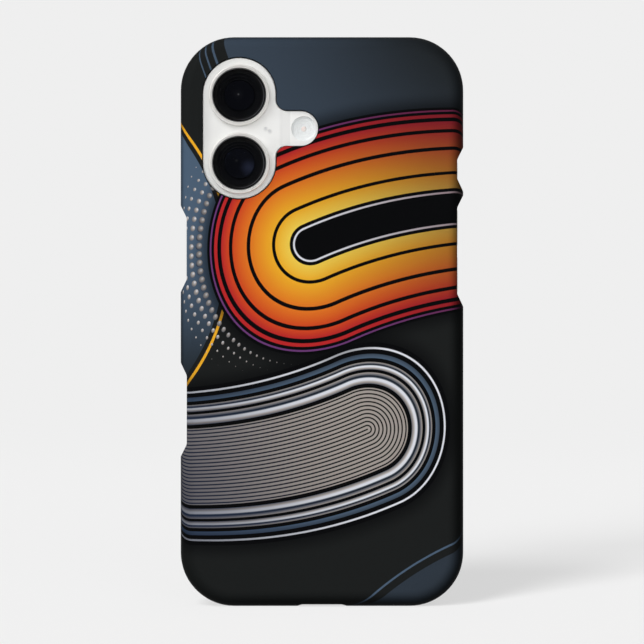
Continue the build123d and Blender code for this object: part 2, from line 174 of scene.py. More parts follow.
# ---------------------------------------------------------------- shader writing
# How wide the soft edge of a line is, how fine the grain's noise is, and the sockets of a
# Mix node that mixes colours.
EDGE_SOFT = 0.12
GRAIN_DETAIL = 3.0
MIX_SHARE, MIX_LOW, MIX_HIGH, MIX_RESULT = 0, 6, 7, 2


class Field:
    """A number that changes over a surface, taken from a node's output."""

    def __init__(self, graph: "Graph", socket: bpy.types.NodeSocket) -> None:
        """Keeps the output and the graph that it belongs to."""
        self.graph, self.socket = graph, socket

    def __add__(self, other: "Number") -> "Field":
        """Sum."""
        return self.graph.maths("ADD", self, other)

    def __radd__(self, other: float) -> "Field":
        """Sum with a plain number on the left."""
        return self.graph.maths("ADD", other, self)

    def __sub__(self, other: "Number") -> "Field":
        """Difference."""
        return self.graph.maths("SUBTRACT", self, other)

    def __rsub__(self, other: float) -> "Field":
        """Difference from a plain number."""
        return self.graph.maths("SUBTRACT", other, self)

    def __mul__(self, other: "Number") -> "Field":
        """Product."""
        return self.graph.maths("MULTIPLY", self, other)

    def __rmul__(self, other: float) -> "Field":
        """Product with a plain number on the left."""
        return self.graph.maths("MULTIPLY", other, self)

    def __truediv__(self, other: "Number") -> "Field":
        """Quotient."""
        return self.graph.maths("DIVIDE", self, other)

    def __abs__(self) -> "Field":
        """Size without sign."""
        return self.graph.maths("ABSOLUTE", self)

    def least(self, other: "Number") -> "Field":
        """The lower of two numbers."""
        return self.graph.maths("MINIMUM", self, other)

    def most(self, other: "Number") -> "Field":
        """The higher of two numbers."""
        return self.graph.maths("MAXIMUM", self, other)

    def folded(self, half: float) -> "Field":
        """Goes up and down between 0 and half, over and over."""
        return self.graph.maths("PINGPONG", self, half)

    def rise(self, start: float, end: float) -> "Field":
        """Goes smoothly from 0 at start to 1 at end."""
        return self.graph.rise(self, start, end)

    def inside(self, start: float, end: float, soft: float = EDGE_SOFT) -> "Field":
        """1 between start and end, and 0 outside, over soft edges."""
        half = soft / 2
        return self.rise(start - half, start + half) * self.rise(end + half, end - half)


Number = Union[float, Field]
Input = Union[float, Colour, Field, bpy.types.NodeSocket]


class Graph:
    """A node tree being written."""

    def __init__(self, tree: bpy.types.NodeTree) -> None:
        """Keeps the tree."""
        self.tree = tree

    def node(self, kind: str, **settings: object) -> bpy.types.Node:
        """Adds a node.

        Args:
            kind: The node's type, without its ShaderNode prefix.
            **settings: Properties to set on it.

        Returns:
            The new node.
        """
        made = self.tree.nodes.new("ShaderNode" + kind)
        for key, value in settings.items():
            setattr(made, key, value)
        return made

    def feed(self, socket: bpy.types.NodeSocket, value: Input) -> None:
        """Joins a field or an output to a socket, or sets the socket itself.

        Args:
            socket: The input to fill.
            value: What it gets.
        """
        if isinstance(value, Field):
            value = value.socket
        if isinstance(value, bpy.types.NodeSocket):
            self.tree.links.new(value, socket)
        elif isinstance(value, tuple):
            wide = len(socket.default_value)
            socket.default_value = (*value, 1.0)[:wide]
        else:
            socket.default_value = value

    def maths(self, operation: str, *values: Number) -> Field:
        """One Math node.

        Args:
            operation: What it works out.
            *values: Its inputs, in order.

        Returns:
            Its result.
        """
        made = self.node("Math", operation=operation)
        for socket, value in zip(made.inputs, values):
            self.feed(socket, value)
        return Field(self, made.outputs[0])

    def hypot(self, across: Number, along: Number) -> Field:
        """The length of a two-part offset."""
        square = self.maths("MULTIPLY", across, across)
        return self.maths("SQRT", self.maths("MULTIPLY_ADD", along, along, square))

    def angle(self, up: Number, right: Number) -> Field:
        """The direction of a two-part offset, in radians."""
        return self.maths("ARCTAN2", up, right)

    def rise(self, value: Number, start: float, end: float) -> Field:
        """Goes smoothly from 0 at start to 1 at end, also where end is the lower.

        Args:
            value: What it depends on.
            start: Where it leaves 0.
            end: Where it gets to 1.

        Returns:
            A number from 0 to 1.
        """
        made = self.node("MapRange", interpolation_type="SMOOTHSTEP")
        low, high = min(start, end), max(start, end)
        for name, number in (("Value", value), ("From Min", low), ("From Max", high)):
            self.feed(made.inputs[name], number)
        if end < start:
            made.inputs["To Min"].default_value, made.inputs["To Max"].default_value = 1.0, 0.0
        return Field(self, made.outputs["Result"])

    def between(self, value: Number, low: float, high: float) -> Field:
        """Stretches a number from 0..1 to low..high.

        Args:
            value: A number from 0 to 1.
            low: What 0 turns into.
            high: What 1 turns into.

        Returns:
            The stretched number.
        """
        made = self.node("MapRange")
        self.feed(made.inputs["Value"], value)
        made.inputs["To Min"].default_value = low
        made.inputs["To Max"].default_value = high
        return Field(self, made.outputs["Result"])

    def mix(self, share: Number, low: Input, high: Input) -> bpy.types.NodeSocket:
        """Mixes two colours.

        Args:
            share: How much of the second shows.
            low: The first colour.
            high: The second colour.

        Returns:
            The mixed colour.
        """
        made = self.node("Mix", data_type="RGBA")
        for place, value in ((MIX_SHARE, share), (MIX_LOW, low), (MIX_HIGH, high)):
            self.feed(made.inputs[place], value)
        return made.outputs[MIX_RESULT]

    def ramp(self, share: Number, stops: Sequence[Tuple[float, Colour]]) -> bpy.types.NodeSocket:
        """A colour ramp that goes straight from each colour to the next.

        Args:
            share: Where on the ramp, from 0 to 1.
            stops: Places and colours, in order.

        Returns:
            The ramp's colour.
        """
        made = self.node("ValToRGB")
        elements = made.color_ramp.elements
        while len(elements) < len(stops):
            elements.new(0.5)
        for element, (place, colour) in zip(elements, stops):
            element.position = place
            element.color = (*colour, 1.0)
        self.feed(made.inputs[0], share)
        return made.outputs[0]

    def effect(self, tree: bpy.types.NodeTree, **values: Input) -> bpy.types.Node:
        """Places a shared effect.

        Args:
            tree: The effect's node group.
            **values: Its inputs by name, with _ for a space.

        Returns:
            The group node.
        """
        made = self.node("Group", node_tree=tree)
        for key, value in values.items():
            self.feed(made.inputs[key.replace("_", " ")], value)
        return made

    def out(self, node: bpy.types.Node, name: str) -> Field:
        """A node's output by name, as a field."""
        return Field(self, node.outputs[name])


class Effects:
    """The shader effects that several finishes share, each a node group built once."""

    def __init__(self) -> None:
        """Builds every group."""
        self.place = self._place()
        self.grain = self._grain()
        self.rings = self._rings()
        self.weave = self._weave()
        self.wrap = self._wrap()
        self.opening = self._opening()

    @staticmethod
    def _start(
        name: str, inputs: Dict[str, float], outputs: Sequence[str], kind: str = "Float"
    ) -> Tuple[Graph, bpy.types.Node, bpy.types.Node]:
        """Opens a node group with named inputs and outputs.

        Args:
            name: The group's name.
            inputs: Each number that it takes, with its usual value.
            outputs: The outputs' names.
            kind: What kind of output the first is. The rest are numbers.

        Returns:
            The graph, its input node and its output node.
        """
        tree = bpy.data.node_groups.new(name, "ShaderNodeTree")
        for label, usual in inputs.items():
            socket = tree.interface.new_socket(
                name=label, in_out="INPUT", socket_type="NodeSocketFloat"
            )
            socket.default_value = usual
        for label in outputs:
            tree.interface.new_socket(name=label, in_out="OUTPUT", socket_type="NodeSocket" + kind)
            kind = "Float"
        return Graph(tree), tree.nodes.new("NodeGroupInput"), tree.nodes.new("NodeGroupOutput")

    def _place(self) -> bpy.types.NodeTree:
        """The place on the object in millimetres, whole and in parts.

        Returns:
            The group.
        """
        outputs = ("Place", "X", "Y", "Z")
        graph, _, end = self._start("place in millimetres", {}, outputs, kind="Vector")
        metres = graph.node("TexCoord").outputs["Object"]
        scaled = graph.node("VectorMath", operation="SCALE")
        graph.feed(scaled.inputs[0], metres)
        scaled.inputs["Scale"].default_value = 1 / MM
        parts = graph.node("SeparateXYZ")
        graph.feed(parts.inputs[0], scaled.outputs[0])
        graph.feed(end.inputs["Place"], scaled.outputs[0])
        for axis in "XYZ":
            graph.feed(end.inputs[axis], parts.outputs[axis])
        return graph.tree

    def _grain(self) -> bpy.types.NodeTree:
        """Uneven grain of a given size, as a number from 0 to 1.

        Returns:
            The group.
        """
        inputs = {"Size": 1.0, "Contrast": 1.0}
        graph, start, end = self._start("grain", inputs, ["Value"])
        where = graph.node("VectorMath", operation="DIVIDE")
        graph.feed(where.inputs[0], graph.effect(self.place).outputs["Place"])
        graph.feed(where.inputs[1], start.outputs["Size"])
        noise = graph.node("TexNoise")
        noise.inputs["Scale"].default_value = 1.0
        noise.inputs["Detail"].default_value = GRAIN_DETAIL
        graph.feed(noise.inputs["Vector"], where.outputs[0])
        swing = (graph.out(noise, "Fac") - 0.5) * graph.out(start, "Contrast") + 0.5
        graph.feed(end.inputs["Value"], swing)
        return graph.tree

    def _rings(self) -> bpy.types.NodeTree:
        """Rings round an axis that runs from back to front, as left by turning or moulding.

        Returns:
            The group.
        """
        inputs = {"Centre X": 0.0, "Centre Z": 0.0, "Pitch": 0.2}
        graph, start, end = self._start("turned rings", inputs, ["Radius", "Ridge"])
        where = graph.effect(self.place)
        radius = graph.hypot(
            graph.out(where, "X") - graph.out(start, "Centre X"),
            graph.out(where, "Z") - graph.out(start, "Centre Z"),
        )
        turns = radius / graph.out(start, "Pitch")
        graph.feed(end.inputs["Radius"], radius)
        graph.feed(end.inputs["Ridge"], turns.folded(0.5) * 2)
        return graph.tree

    def _weave(self) -> bpy.types.NodeTree:
        """A plain weave of round wires: how high the wires stand, and where they are.

        Returns:
            The group.
        """
        inputs = {"Pitch": 0.1, "Wire": 0.6}
        graph, start, end = self._start("wire weave", inputs, ["Height", "Wires"])
        where = graph.effect(self.place)
        pitch = graph.out(start, "Pitch")
        across = graph.out(where, "X") / pitch
        along = (graph.out(where, "Z") + graph.out(where, "Y")) / pitch
        over = graph.maths("SINE", across * math.pi) * graph.maths("SINE", along * math.pi)
        warp = across.folded(0.5) * 2
        weft = along.folded(0.5) * 2
        wires = graph.maths("GREATER_THAN", warp.most(weft), 1 - graph.out(start, "Wire"))
        height = (warp * (0.5 + 0.5 * over)).most(weft * (0.5 - 0.5 * over))
        graph.feed(end.inputs["Height"], height)
        graph.feed(end.inputs["Wires"], wires)
        return graph.tree

    def _wrap(self) -> bpy.types.NodeTree:
        """The print's sheet, unrolled over the case and its rounded edge.

        Returns:
            The group. Inset counts from the outline, Skin from the middle of the rounded edge.
        """
        graph, _, end = self._start("print wrap", {}, ["U", "V", "Inset", "Skin"])
        where = graph.effect(self.place)
        x, y, z = (graph.out(where, axis) for axis in "XYZ")
        half_x, half_z, corner = CASE.width / 2, CASE.height / 2, CASE.corner
        high = z - half_z
        deep = (y - CASE.back_y).most(0.0)
        graph.feed(end.inputs["U"], x + x * deep / half_x)
        graph.feed(end.inputs["V"], z + high * deep / half_z)
        flat_x = abs(x) - (half_x - corner)
        flat_z = abs(high) - (half_z - corner)
        edge = graph.hypot(flat_x.most(0.0), flat_z.most(0.0)) + flat_x.most(flat_z).least(0.0)
        graph.feed(end.inputs["Inset"], corner - edge)
        wall = (edge - (corner - CASE.edge)).most(0.0)
        back = (CASE.back_y + CASE.edge - y).most(0.0)
        graph.feed(end.inputs["Skin"], graph.hypot(wall, back))
        return graph.tree

    def _opening(self) -> bpy.types.NodeTree:
        """Distance from the edge of the case's camera opening, below 0 inside it.

        Returns:
            The group.
        """
        graph, _, end = self._start("camera opening", {}, ["Distance"])
        where = graph.effect(self.place)
        hole = CameraOpening()
        middle_x, middle_z = hole.middle
        x, up = graph.out(where, "X"), graph.out(where, "Z") - middle_z
        beyond = (abs(up) - hole.half).most(0.0)
        pill = graph.hypot(x - middle_x, beyond) - hole.radius
        arm = graph.hypot((x - hole.arm_x).most(0.0), up) - hole.arm_radius
        arm = arm.most(middle_x - x)
        edge = graph.maths("SMOOTH_MIN", pill, arm, hole.joint)
        graph.feed(end.inputs["Distance"], edge)
        return graph.tree


# ---------------------------------------------------------------- finishes
# Blotches in a finish's colour and gloss: how much larger than its grain, and how strong.
MOTTLE_SIZE, MOTTLE_CONTRAST = 24.0, 1.6
GLOSS_SIZE, GLOSS_CONTRAST = 9.0, 1.3


def blank_graph(holder: Union[bpy.types.Material, bpy.types.World]) -> Graph:
    """Empties a material's or a world's node tree, for a graph to be written in it.

    Args:
        holder: The material or the world.

    Returns:
        The empty graph.
    """
    holder.use_nodes = True
    holder.node_tree.nodes.clear()
    return Graph(holder.node_tree)


@dataclass(frozen=True)
class Finish:
    """A plain surface finish with an uneven grain in its colour, gloss and relief.

    Attributes:
        name: The material's name.
        colour: Its base colour.
        rough: Its roughness.
        metal: 1 for metal, 0 for anything else.
        level: Specular level, where 0.5 is usual.
        ior: Index of refraction.
        grain: Size of the relief's grain.
        relief: Height of that relief.
        mottle: How much the colour varies.
        rough_swing: How far the roughness goes up and down.
        coat: Weight of a clear coat.
        coat_rough: Roughness of that coat.
        clear: How much light it lets through.
    """

    name: str
    colour: Colour
    rough: float = 0.45
    metal: float = 0.0
    level: float = 0.5
    ior: float = 1.5
    grain: float = 0.25
    relief: float = 0.004
    mottle: float = 0.04
    rough_swing: float = 0.06
    coat: float = 0.0
    coat_rough: float = 0.05
    clear: float = 0.0

    def base(self, graph: Graph, shared: Effects) -> Input:
        """The colour over the surface.

        Args:
            graph: The material's graph.
            shared: The shared effects.

        Returns:
            A colour, or an output that gives one.
        """
        if not self.mottle:
            return self.colour
        wide = graph.effect(shared.grain, Size=self.grain * MOTTLE_SIZE, Contrast=MOTTLE_CONTRAST)
        dark = tuple(part * (1 - self.mottle) for part in self.colour)
        light = tuple(min(1.0, part * (1 + self.mottle)) for part in self.colour)
        return graph.mix(graph.out(wide, "Value"), dark, light)

    def roughness(self, graph: Graph, shared: Effects) -> Input:
        """The roughness over the surface.

        Args:
            graph: The material's graph.
            shared: The shared effects.

        Returns:
            A number, or an output that gives one.
        """
        wide = graph.effect(shared.grain, Size=self.grain * GLOSS_SIZE, Contrast=GLOSS_CONTRAST)
        low, high = self.rough - self.rough_swing, self.rough + self.rough_swing
        return graph.between(graph.out(wide, "Value"), max(0.0, low), high)

    def height(self, graph: Graph, shared: Effects) -> Field:
        """The relief over the surface, from 0 to 1."""
        return graph.out(graph.effect(shared.grain, Size=self.grain), "Value")

    def extra(self, graph: Graph, shader: bpy.types.Node, shared: Effects) -> None:
        """Last touches that a kind of finish adds to its shader."""

    def material(self, shared: Effects) -> bpy.types.Material:
        """Writes the material.

        Args:
            shared: The shared effects.

        Returns:
            The new material.
        """
        made = bpy.data.materials.new(self.name)
        graph = blank_graph(made)
        shader = graph.node("BsdfPrincipled")
        graph.feed(graph.node("OutputMaterial").inputs["Surface"], shader.outputs[0])
        for socket, number in (
            ("Metallic", self.metal),
            ("Specular IOR Level", self.level),
            ("IOR", self.ior),
            ("Coat Weight", self.coat),
            ("Coat Roughness", self.coat_rough),
            ("Transmission Weight", self.clear),
        ):
            shader.inputs[socket].default_value = number
        graph.feed(shader.inputs["Base Color"], self.base(graph, shared))
        graph.feed(shader.inputs["Roughness"], self.roughness(graph, shared))
        bump = graph.node("Bump")
        bump.inputs["Strength"].default_value = 1.0
        bump.inputs["Distance"].default_value = self.relief * MM
        graph.feed(bump.inputs["Height"], self.height(graph, shared))
        graph.feed(shader.inputs["Normal"], bump.outputs[0])
        self.extra(graph, shader, shared)
        return made


@dataclass(frozen=True)
class TurnedFinish(Finish):
    """A finish with fine rings round a lens or the flash.

    Attributes:
        centre: The rings' middle, x and z.
        pitch: Distance between rings.
        ring_share: How much of the relief the rings make up.
    """

    centre: Pair = (0.0, 0.0)
    pitch: float = 0.12
    ring_share: float = 0.5

    def rings(self, graph: Graph, shared: Effects, what: str) -> Field:
        """One output of the rings round the middle.

        Args:
            graph: The material's graph.
            shared: The shared effects.
            what: Ridge, from 0 to 1, or Radius, the distance from their middle.

        Returns:
            That output.
        """
        x, z = self.centre
        rings = graph.effect(shared.rings, Centre_X=x, Centre_Z=z, Pitch=self.pitch)
        return graph.out(rings, what)

    def offset(
        self, graph: Graph, shared: Effects, right: float = 0.0, up: float = 0.0
    ) -> Tuple[Field, Field]:
        """How far right of and above a place, itself given from the middle.

        Args:
            graph: The material's graph.
            shared: The shared effects.
            right: How far right of the middle that place lies.
            up: How far above it.

        Returns:
            Both parts of the offset.
        """
        where = graph.effect(shared.place)
        across = graph.out(where, "X") - (self.centre[0] + right)
        return across, graph.out(where, "Z") - (self.centre[1] + up)

    def height(self, graph: Graph, shared: Effects) -> Field:
        """Rings over the usual grain."""
        ridge = self.rings(graph, shared, "Ridge") * self.ring_share
        return ridge + super().height(graph, shared) * (1 - self.ring_share)


@dataclass(frozen=True)
class EdgeFinish(TurnedFinish):
    """Dark ink under a cover's edge, with a thin bevel whose painted highlight lies on one side.

    Attributes:
        bevel: Where the bevel starts and ends, out from the middle.
        bevel_soft: How soft its line's edges are.
        bevel_rise: How far it rises outwards.
        bevel_highlight_colour: The colour of the bevel's painted highlight where it is palest.
        bevel_highlight_turn: The direction of that painted highlight, in degrees up from the right.
    """

    bevel: Pair = (6.42, 6.56)
    bevel_soft: float = 0.1
    bevel_rise: float = 0.2
    bevel_highlight_colour: Colour = swatch(92, 92, 96)
    bevel_highlight_turn: float = -25.0

    def base(self, graph: Graph, shared: Effects) -> Input:
        """Ink with the bevel's line, a painted highlight on one side.

        Args:
            graph: The material's graph.
            shared: The shared effects.

        Returns:
            A colour, or an output that gives one.
        """
        radius = self.rings(graph, shared, "Radius")
        right, up = self.offset(graph, shared)
        # The line is a painted highlight, palest on the side that faces the light.
        turn = math.radians(self.bevel_highlight_turn)
        side = (right * math.cos(turn) + up * math.sin(turn)) / radius
        line = radius.inside(*self.bevel, self.bevel_soft) * side.rise(0.0, 1.0)
        return graph.mix(line, super().base(graph, shared), self.bevel_highlight_colour)

    def height(self, graph: Graph, shared: Effects) -> Field:
        """The bevel over the usual grain."""
        bevel = self.rings(graph, shared, "Radius").rise(*self.bevel)
        return super().height(graph, shared) + bevel * (self.bevel_rise / self.relief)


@dataclass(frozen=True)
class BloomFinish(TurnedFinish):
    """A turned finish whose colour turns softly into another round one place:
    a paler patch in the flash's dome, and a painted reflection in a lens's dish.

    Attributes:
        tint_and_reflection: How far right of and above the middle that place lies, and how wide it
            is.
        tint_and_reflection_colour: The colour there, which in a lens's dish is a painted
            reflection.
    """

    tint_and_reflection: Point = (0.0, 0.0, 1.0)
    tint_and_reflection_colour: Colour = swatch(6, 6, 8)

    def base(self, graph: Graph, shared: Effects) -> Input:
        """The usual colour with its soft patch, a painted reflection in a lens's dish.

        Args:
            graph: The material's graph.
            shared: The shared effects.

        Returns:
            A colour, or an output that gives one.
        """
        right, up, wide = self.tint_and_reflection
        tint_and_reflection = graph.hypot(*self.offset(graph, shared, right, up)).rise(wide, 0.0)
        return graph.mix(tint_and_reflection, super().base(graph, shared), self.tint_and_reflection_colour)


@dataclass(frozen=True)
class DishFinish(BloomFinish):
    """Dark coated glass with a blue shine, a painted reflection,
    and a small painted glint near its middle.

    Attributes:
        shine: Tint of its shine.
        painted_glint: How far right of and above the middle the painted glint lies, and its radius.
        painted_glint_pale: How pale that painted glint is.
        painted_glint_core: Which share of its radius is evenly pale.
    """

    shine: Colour = (0.35, 0.45, 1.0)
    painted_glint: Point = (0.0, 0.0, 0.3)
    painted_glint_pale: float = 0.05
    painted_glint_core: float = 0.3

    def base(self, graph: Graph, shared: Effects) -> Input:
        """Dark glass with its painted reflection and a painted glint.

        Args:
            graph: The material's graph.
            shared: The shared effects.

        Returns:
            A colour, or an output that gives one.
        """
        # A painted glint near the middle.
        right, up, wide = self.painted_glint
        away = graph.hypot(*self.offset(graph, shared, right, up))
        near = away.rise(wide, wide * self.painted_glint_core)
        return graph.mix(near, super().base(graph, shared), even(self.painted_glint_pale))

    def extra(self, graph: Graph, shader: bpy.types.Node, shared: Effects) -> None:
        """Tints the shine."""
        shader.inputs["Specular Tint"].default_value = (*self.shine, 1.0)


@dataclass(frozen=True)
class WovenFinish(Finish):
    """Fine woven wire over holes, whose colour is painted shade of the space behind.

    Attributes:
        pitch: Distance between wires.
        wire: Which share of the pitch a wire takes up.
        hole: The colour between the wires, painted shade of the space behind them.
    """

    pitch: float = 0.16
    wire: float = 0.62
    hole: Colour = even(0.002)

    def _weave(self, graph: Graph, shared: Effects) -> bpy.types.Node:
        """The weave at this pitch."""
        return graph.effect(shared.weave, Pitch=self.pitch, Wire=self.wire)

    def base(self, graph: Graph, shared: Effects) -> Input:
        """Wires over holes."""
        # The holes show painted shade in place of the space behind the wires.
        return graph.mix(graph.out(self._weave(graph, shared), "Wires"), self.hole, self.colour)

    def height(self, graph: Graph, shared: Effects) -> Field:
        """Wires going over and under."""
        return graph.out(self._weave(graph, shared), "Height")


@dataclass(frozen=True)
class IslandFinish(Finish):
    """White back glass, with a soft slope from the raised island down to the flash's arm,
    and painted shade near the opening's edge, at the slope's crease and round the sound holes.

    Attributes:
        slope: Where the slope starts and ends, to the right.
        fall: How far it falls.
        kept: How much of that fall is left to see in its shading.
        crease: Where the slope's upper end shows as a soft line of painted shade, and half its
            width.
        crease_painted_shade: How dark that painted shade is.
        lean: How much the flash's arm leans towards the key light.
        rim: How far in from the opening's edge the painted shade reaches.
        arm: Where the flash's arm ends and the pill, whose rim gets painted shade, is reached.
        pill_rim_painted_shade: How dark the painted shade at the pill's rim is.
        left: Where the left side starts, and where it is reached.
        left_rim_painted_shade: How much darker still the painted shade at its rim gets there.
        left_painted_shade: How dark the painted shade over all of the left side is.
        holes: Where the sound holes are.
        hole_painted_shade: How far right of and above a hole its painted shade lies, and how far it
            reaches.
        hole_painted_shade_core: How wide the middle of that painted shade is.
        hole_painted_shade_dark: How dark that painted shade is.
    """

    slope: Pair = (-11.05, -8.45)
    fall: float = 1.3
    kept: float = -0.12
    crease: Pair = (-10.8, 0.75)
    crease_painted_shade: float = 0.045
    lean: float = 0.2
    rim: float = 3.2
    arm: Pair = (-9.0, -14.0)
    pill_rim_painted_shade: float = 0.1
    left: Pair = (-18.0, -29.0)
    left_rim_painted_shade: float = 0.05
    left_painted_shade: float = 0.08
    holes: Tuple[Pair, ...] = ()
    hole_painted_shade: Point = (0.1, -0.22, 0.95)
    hole_painted_shade_core: float = 0.1
    hole_painted_shade_dark: float = 0.18

    def base(self, graph: Graph, shared: Effects) -> Input:
        """White with painted shade towards the case's edge, most on the left,
        at the slope's crease and round the holes.

        Args:
            graph: The material's graph.
            shared: The shared effects.

        Returns:
            A colour, or an output that gives one.
        """
        where = graph.effect(shared.place)
        across, height = graph.out(where, "X"), graph.out(where, "Z")
        edge = graph.out(graph.effect(shared.opening), "Distance")
        # Painted shade towards the opening's edge, at the pill's rim and most on the left.
        pill, side = across.rise(*self.arm), across.rise(*self.left)
        share = side * self.left_rim_painted_shade + pill * self.pill_rim_painted_shade
        shade = edge.rise(-self.rim, 0.0) * share + side * self.left_painted_shade
        # A soft line of painted shade at the slope's upper end.
        middle, half = self.crease
        shade = shade + abs(across - middle).rise(half, 0.0) * self.crease_painted_shade
        # Painted shade round each sound hole.
        right, up, wide = self.hole_painted_shade
        for x, z in self.holes:
            away = graph.hypot(across - (x + right), height - (z + up))
            shade = shade + away.rise(wide, self.hole_painted_shade_core) * self.hole_painted_shade_dark
        return graph.mix(shade, super().base(graph, shared), Ink.BLACK.value)

    def height(self, graph: Graph, shared: Effects) -> Field:
        """Rounds both ends of the slope.

        Args:
            graph: The material's graph.
            shared: The shared effects.

        Returns:
            The relief, where 1 is as high as its grain.
        """
        across = graph.out(graph.effect(shared.place), "X")
        low, high = self.slope
        share = ((across - low) / (high - low)).least(1.0).most(0.0)
        eased = share - across.rise(low, high) * self.kept
        leaning = (across - high).most(0.0) * self.lean
        return super().height(graph, shared) + (eased * self.fall + leaning) * (1 / self.relief)


# ---------------------------------------------------------------- the print
BAR_PITCH = 1.04
BAR_EDGE = (0.12, 0.24)
TUBE_STOPS = (
    (0.0, Ink.LEAD.value),
    (0.16, Ink.ASH.value),
    (0.34, Ink.SILVER.value),
    (0.50, Ink.SILVER.value),
    (0.58, Ink.SLATE.value),
    (0.70, Ink.COAL.value),
    (0.80, Ink.LEAD.value),
    (1.0, Ink.ASH.value),
)
BEAD_STOPS = (
    (0.0, Ink.SILVER.value),
    (0.35, Ink.ASH.value),
    (0.8, Ink.LEAD.value),
    (1.0, Ink.NAVY.value),
)


class StripeKind(Enum):
    """How a stripe of the print is painted."""

    PAINT = "one ink that turns into another"
    TUBE = "polished tube"
    BARS = "fine bars"


@dataclass(frozen=True)
class Stripe:
    """One stripe of a sweep.

    Attributes:
        start: How far its inner edge lies from the sweep's middle line.
        width: Its width.
        inner: Its ink at the inner edge, or between the bars.
        outer: Its ink at the outer edge, or on the bars.
        kind: How it is painted.
    """

    start: float
    width: float
    inner: Ink
    outer: Ink
    kind: StripeKind = StripeKind.PAINT

    def paint(self, graph: Graph, out: Field) -> bpy.types.NodeSocket:
        """Its colour over the sheet.

        Args:
            graph: The material's graph.
            out: Distance from the sweep's middle line.

        Returns:
            The colour.
        """
        share = (out - self.start) / self.width
        if self.kind is StripeKind.TUBE:
            return graph.ramp(share, TUBE_STOPS)
        if self.kind is StripeKind.BARS:
            bar = (out - self.start).folded(BAR_PITCH / 2)
            share = bar.rise(*(BAR_PITCH * edge for edge in BAR_EDGE))
        return graph.mix(share, self.inner.value, self.outer.value)


@dataclass(frozen=True)
class Sweep:
    """Stripes that run in along one arm, turn round a bend and run out along the other.

    Attributes:
        u: The bend's middle, to the right.
        v: The bend's middle, up.
        turn: Direction of its arms, in degrees up from the right.
        bed: How far out its dark bed reaches.
        stripes: Its stripes.
        far: The ink that its arms fade into.
        fade: How far along the arms that starts and ends.
        depth: How strongly they fade.
        curl: How much its arms bend.
        shadow: How far outside and inside the bed's edge its soft shadow reaches.
        shadow_dark: How dark that shadow is.
    """

    u: float
    v: float
    turn: float
    bed: float
    stripes: Tuple[Stripe, ...]
    far: Ink
    fade: Pair
    depth: float = 0.8
    curl: float = 0.0045
    shadow: Pair = (5.0, -1.0)
    shadow_dark: float = 0.75

    def place(self, graph: Graph, u: Field, v: Field) -> Tuple[Field, Field, Field]:
        """The sweep's own coordinates.

        Args:
            graph: The material's graph.
            u: Sheet position to the right.
            v: Sheet position up.

        Returns:
            Distance from the middle line, angle round the bend, and distance along the arms.
        """
        turn = math.radians(self.turn)
        right, up = u - self.u, v - self.v
        along = right * math.cos(turn) + up * math.sin(turn)
        across = up * math.cos(turn) - right * math.sin(turn) + along * along * self.curl
        round_end = along.least(0.0)
        return graph.hypot(across, round_end), graph.angle(across, round_end * -1.0), along

    def draw(self, graph: Graph, u: Field, v: Field, ground: Input) -> bpy.types.NodeSocket:
        """Lays the sweep over what is already printed.

        Args:
            graph: The material's graph.
            u: Sheet position to the right.
            v: Sheet position up.
            ground: The colour so far.

        Returns:
            The colour with the sweep on it.
        """
        out, _, along = self.place(graph, u, v)
        shadow = out.rise(*(self.bed + reach for reach in self.shadow)) * self.shadow_dark
        colour = graph.mix(shadow, ground, Ink.COAL.value)
        bed = out.rise(self.bed + EDGE_SOFT / 2, self.bed - EDGE_SOFT / 2)
        colour = graph.mix(bed, colour, Ink.COAL.value)
        faded = along.rise(*self.fade) * self.depth
        for stripe in self.stripes:
            paint = graph.mix(faded, stripe.paint(graph, out), self.far.value)
            colour = graph.mix(out.inside(stripe.start, stripe.start + stripe.width), colour, paint)
        return colour


@dataclass(frozen=True)
class Beads:
    """Rows of small bright beads that follow a sweep and die away.

    Attributes:
        pitch: Distance between beads.
        rows: How many rows there are.
        gap: How far outside the sweep's bed they start.
        largest: Where along the rows the beads are largest.
        reach: How far from there they die away.
        shrink: How much smaller a row's beads are than those of the row inside it.
        glint: Where a bead is brightest, outwards and along from its middle.
        shading: How far from there it is darkest.
    """

    pitch: float = 2.3
    rows: int = 4
    gap: float = 1.3
    largest: float = 14.0
    reach: float = 60.0
    shrink: float = 0.17
    glint: Pair = (-0.3, 0.25)
    shading: float = 1.3

    def draw(
        self, graph: Graph, sweep: Sweep, u: Field, v: Field, ground: Input
    ) -> bpy.types.NodeSocket:
        """Lays the beads over what is already printed.

        Args:
            graph: The material's graph.
            sweep: The sweep that they follow.
            u: Sheet position to the right.
            v: Sheet position up.
            ground: The colour so far.

        Returns:
            The colour with the beads on it.
        """
        out, path, along = sweep.place(graph, u, v)
        start, wide = sweep.bed + self.gap, self.rows * self.pitch
        run = path * (start + wide / 2) + graph.maths("SIGN", path) * along.most(0.0)
        row = (out - start) / self.pitch
        cell_out, cell_run = (
            (graph.maths("FRACT", count) - 0.5) * self.pitch for count in (row, run / self.pitch)
        )
        size = abs(run - self.largest).rise(self.reach, 0.0)
        size = size - graph.maths("FLOOR", row) * self.shrink
        glint = graph.hypot(cell_out - self.glint[0], cell_run - self.glint[1])
        bead = graph.ramp(glint / self.shading, BEAD_STOPS)
        edge = (size - graph.hypot(cell_out, cell_run)).rise(0.0, EDGE_SOFT)
        return graph.mix(edge * out.inside(start, start + wide), ground, bead)


class Fade(Enum):
    """Which way a panel dies away."""

    INWARDS = "from its edge to its middle"
    DOWN = "down the sheet"


@dataclass(frozen=True)
class Arc:
    """A thin line round a panel.

    Attributes:
        radius: Its inner radius.
        width: Its width.
        ink: Its ink.
        strength: How strongly it covers.
    """

    radius: float
    width: float
    ink: Ink = Ink.STEEL
    strength: float = 1.0


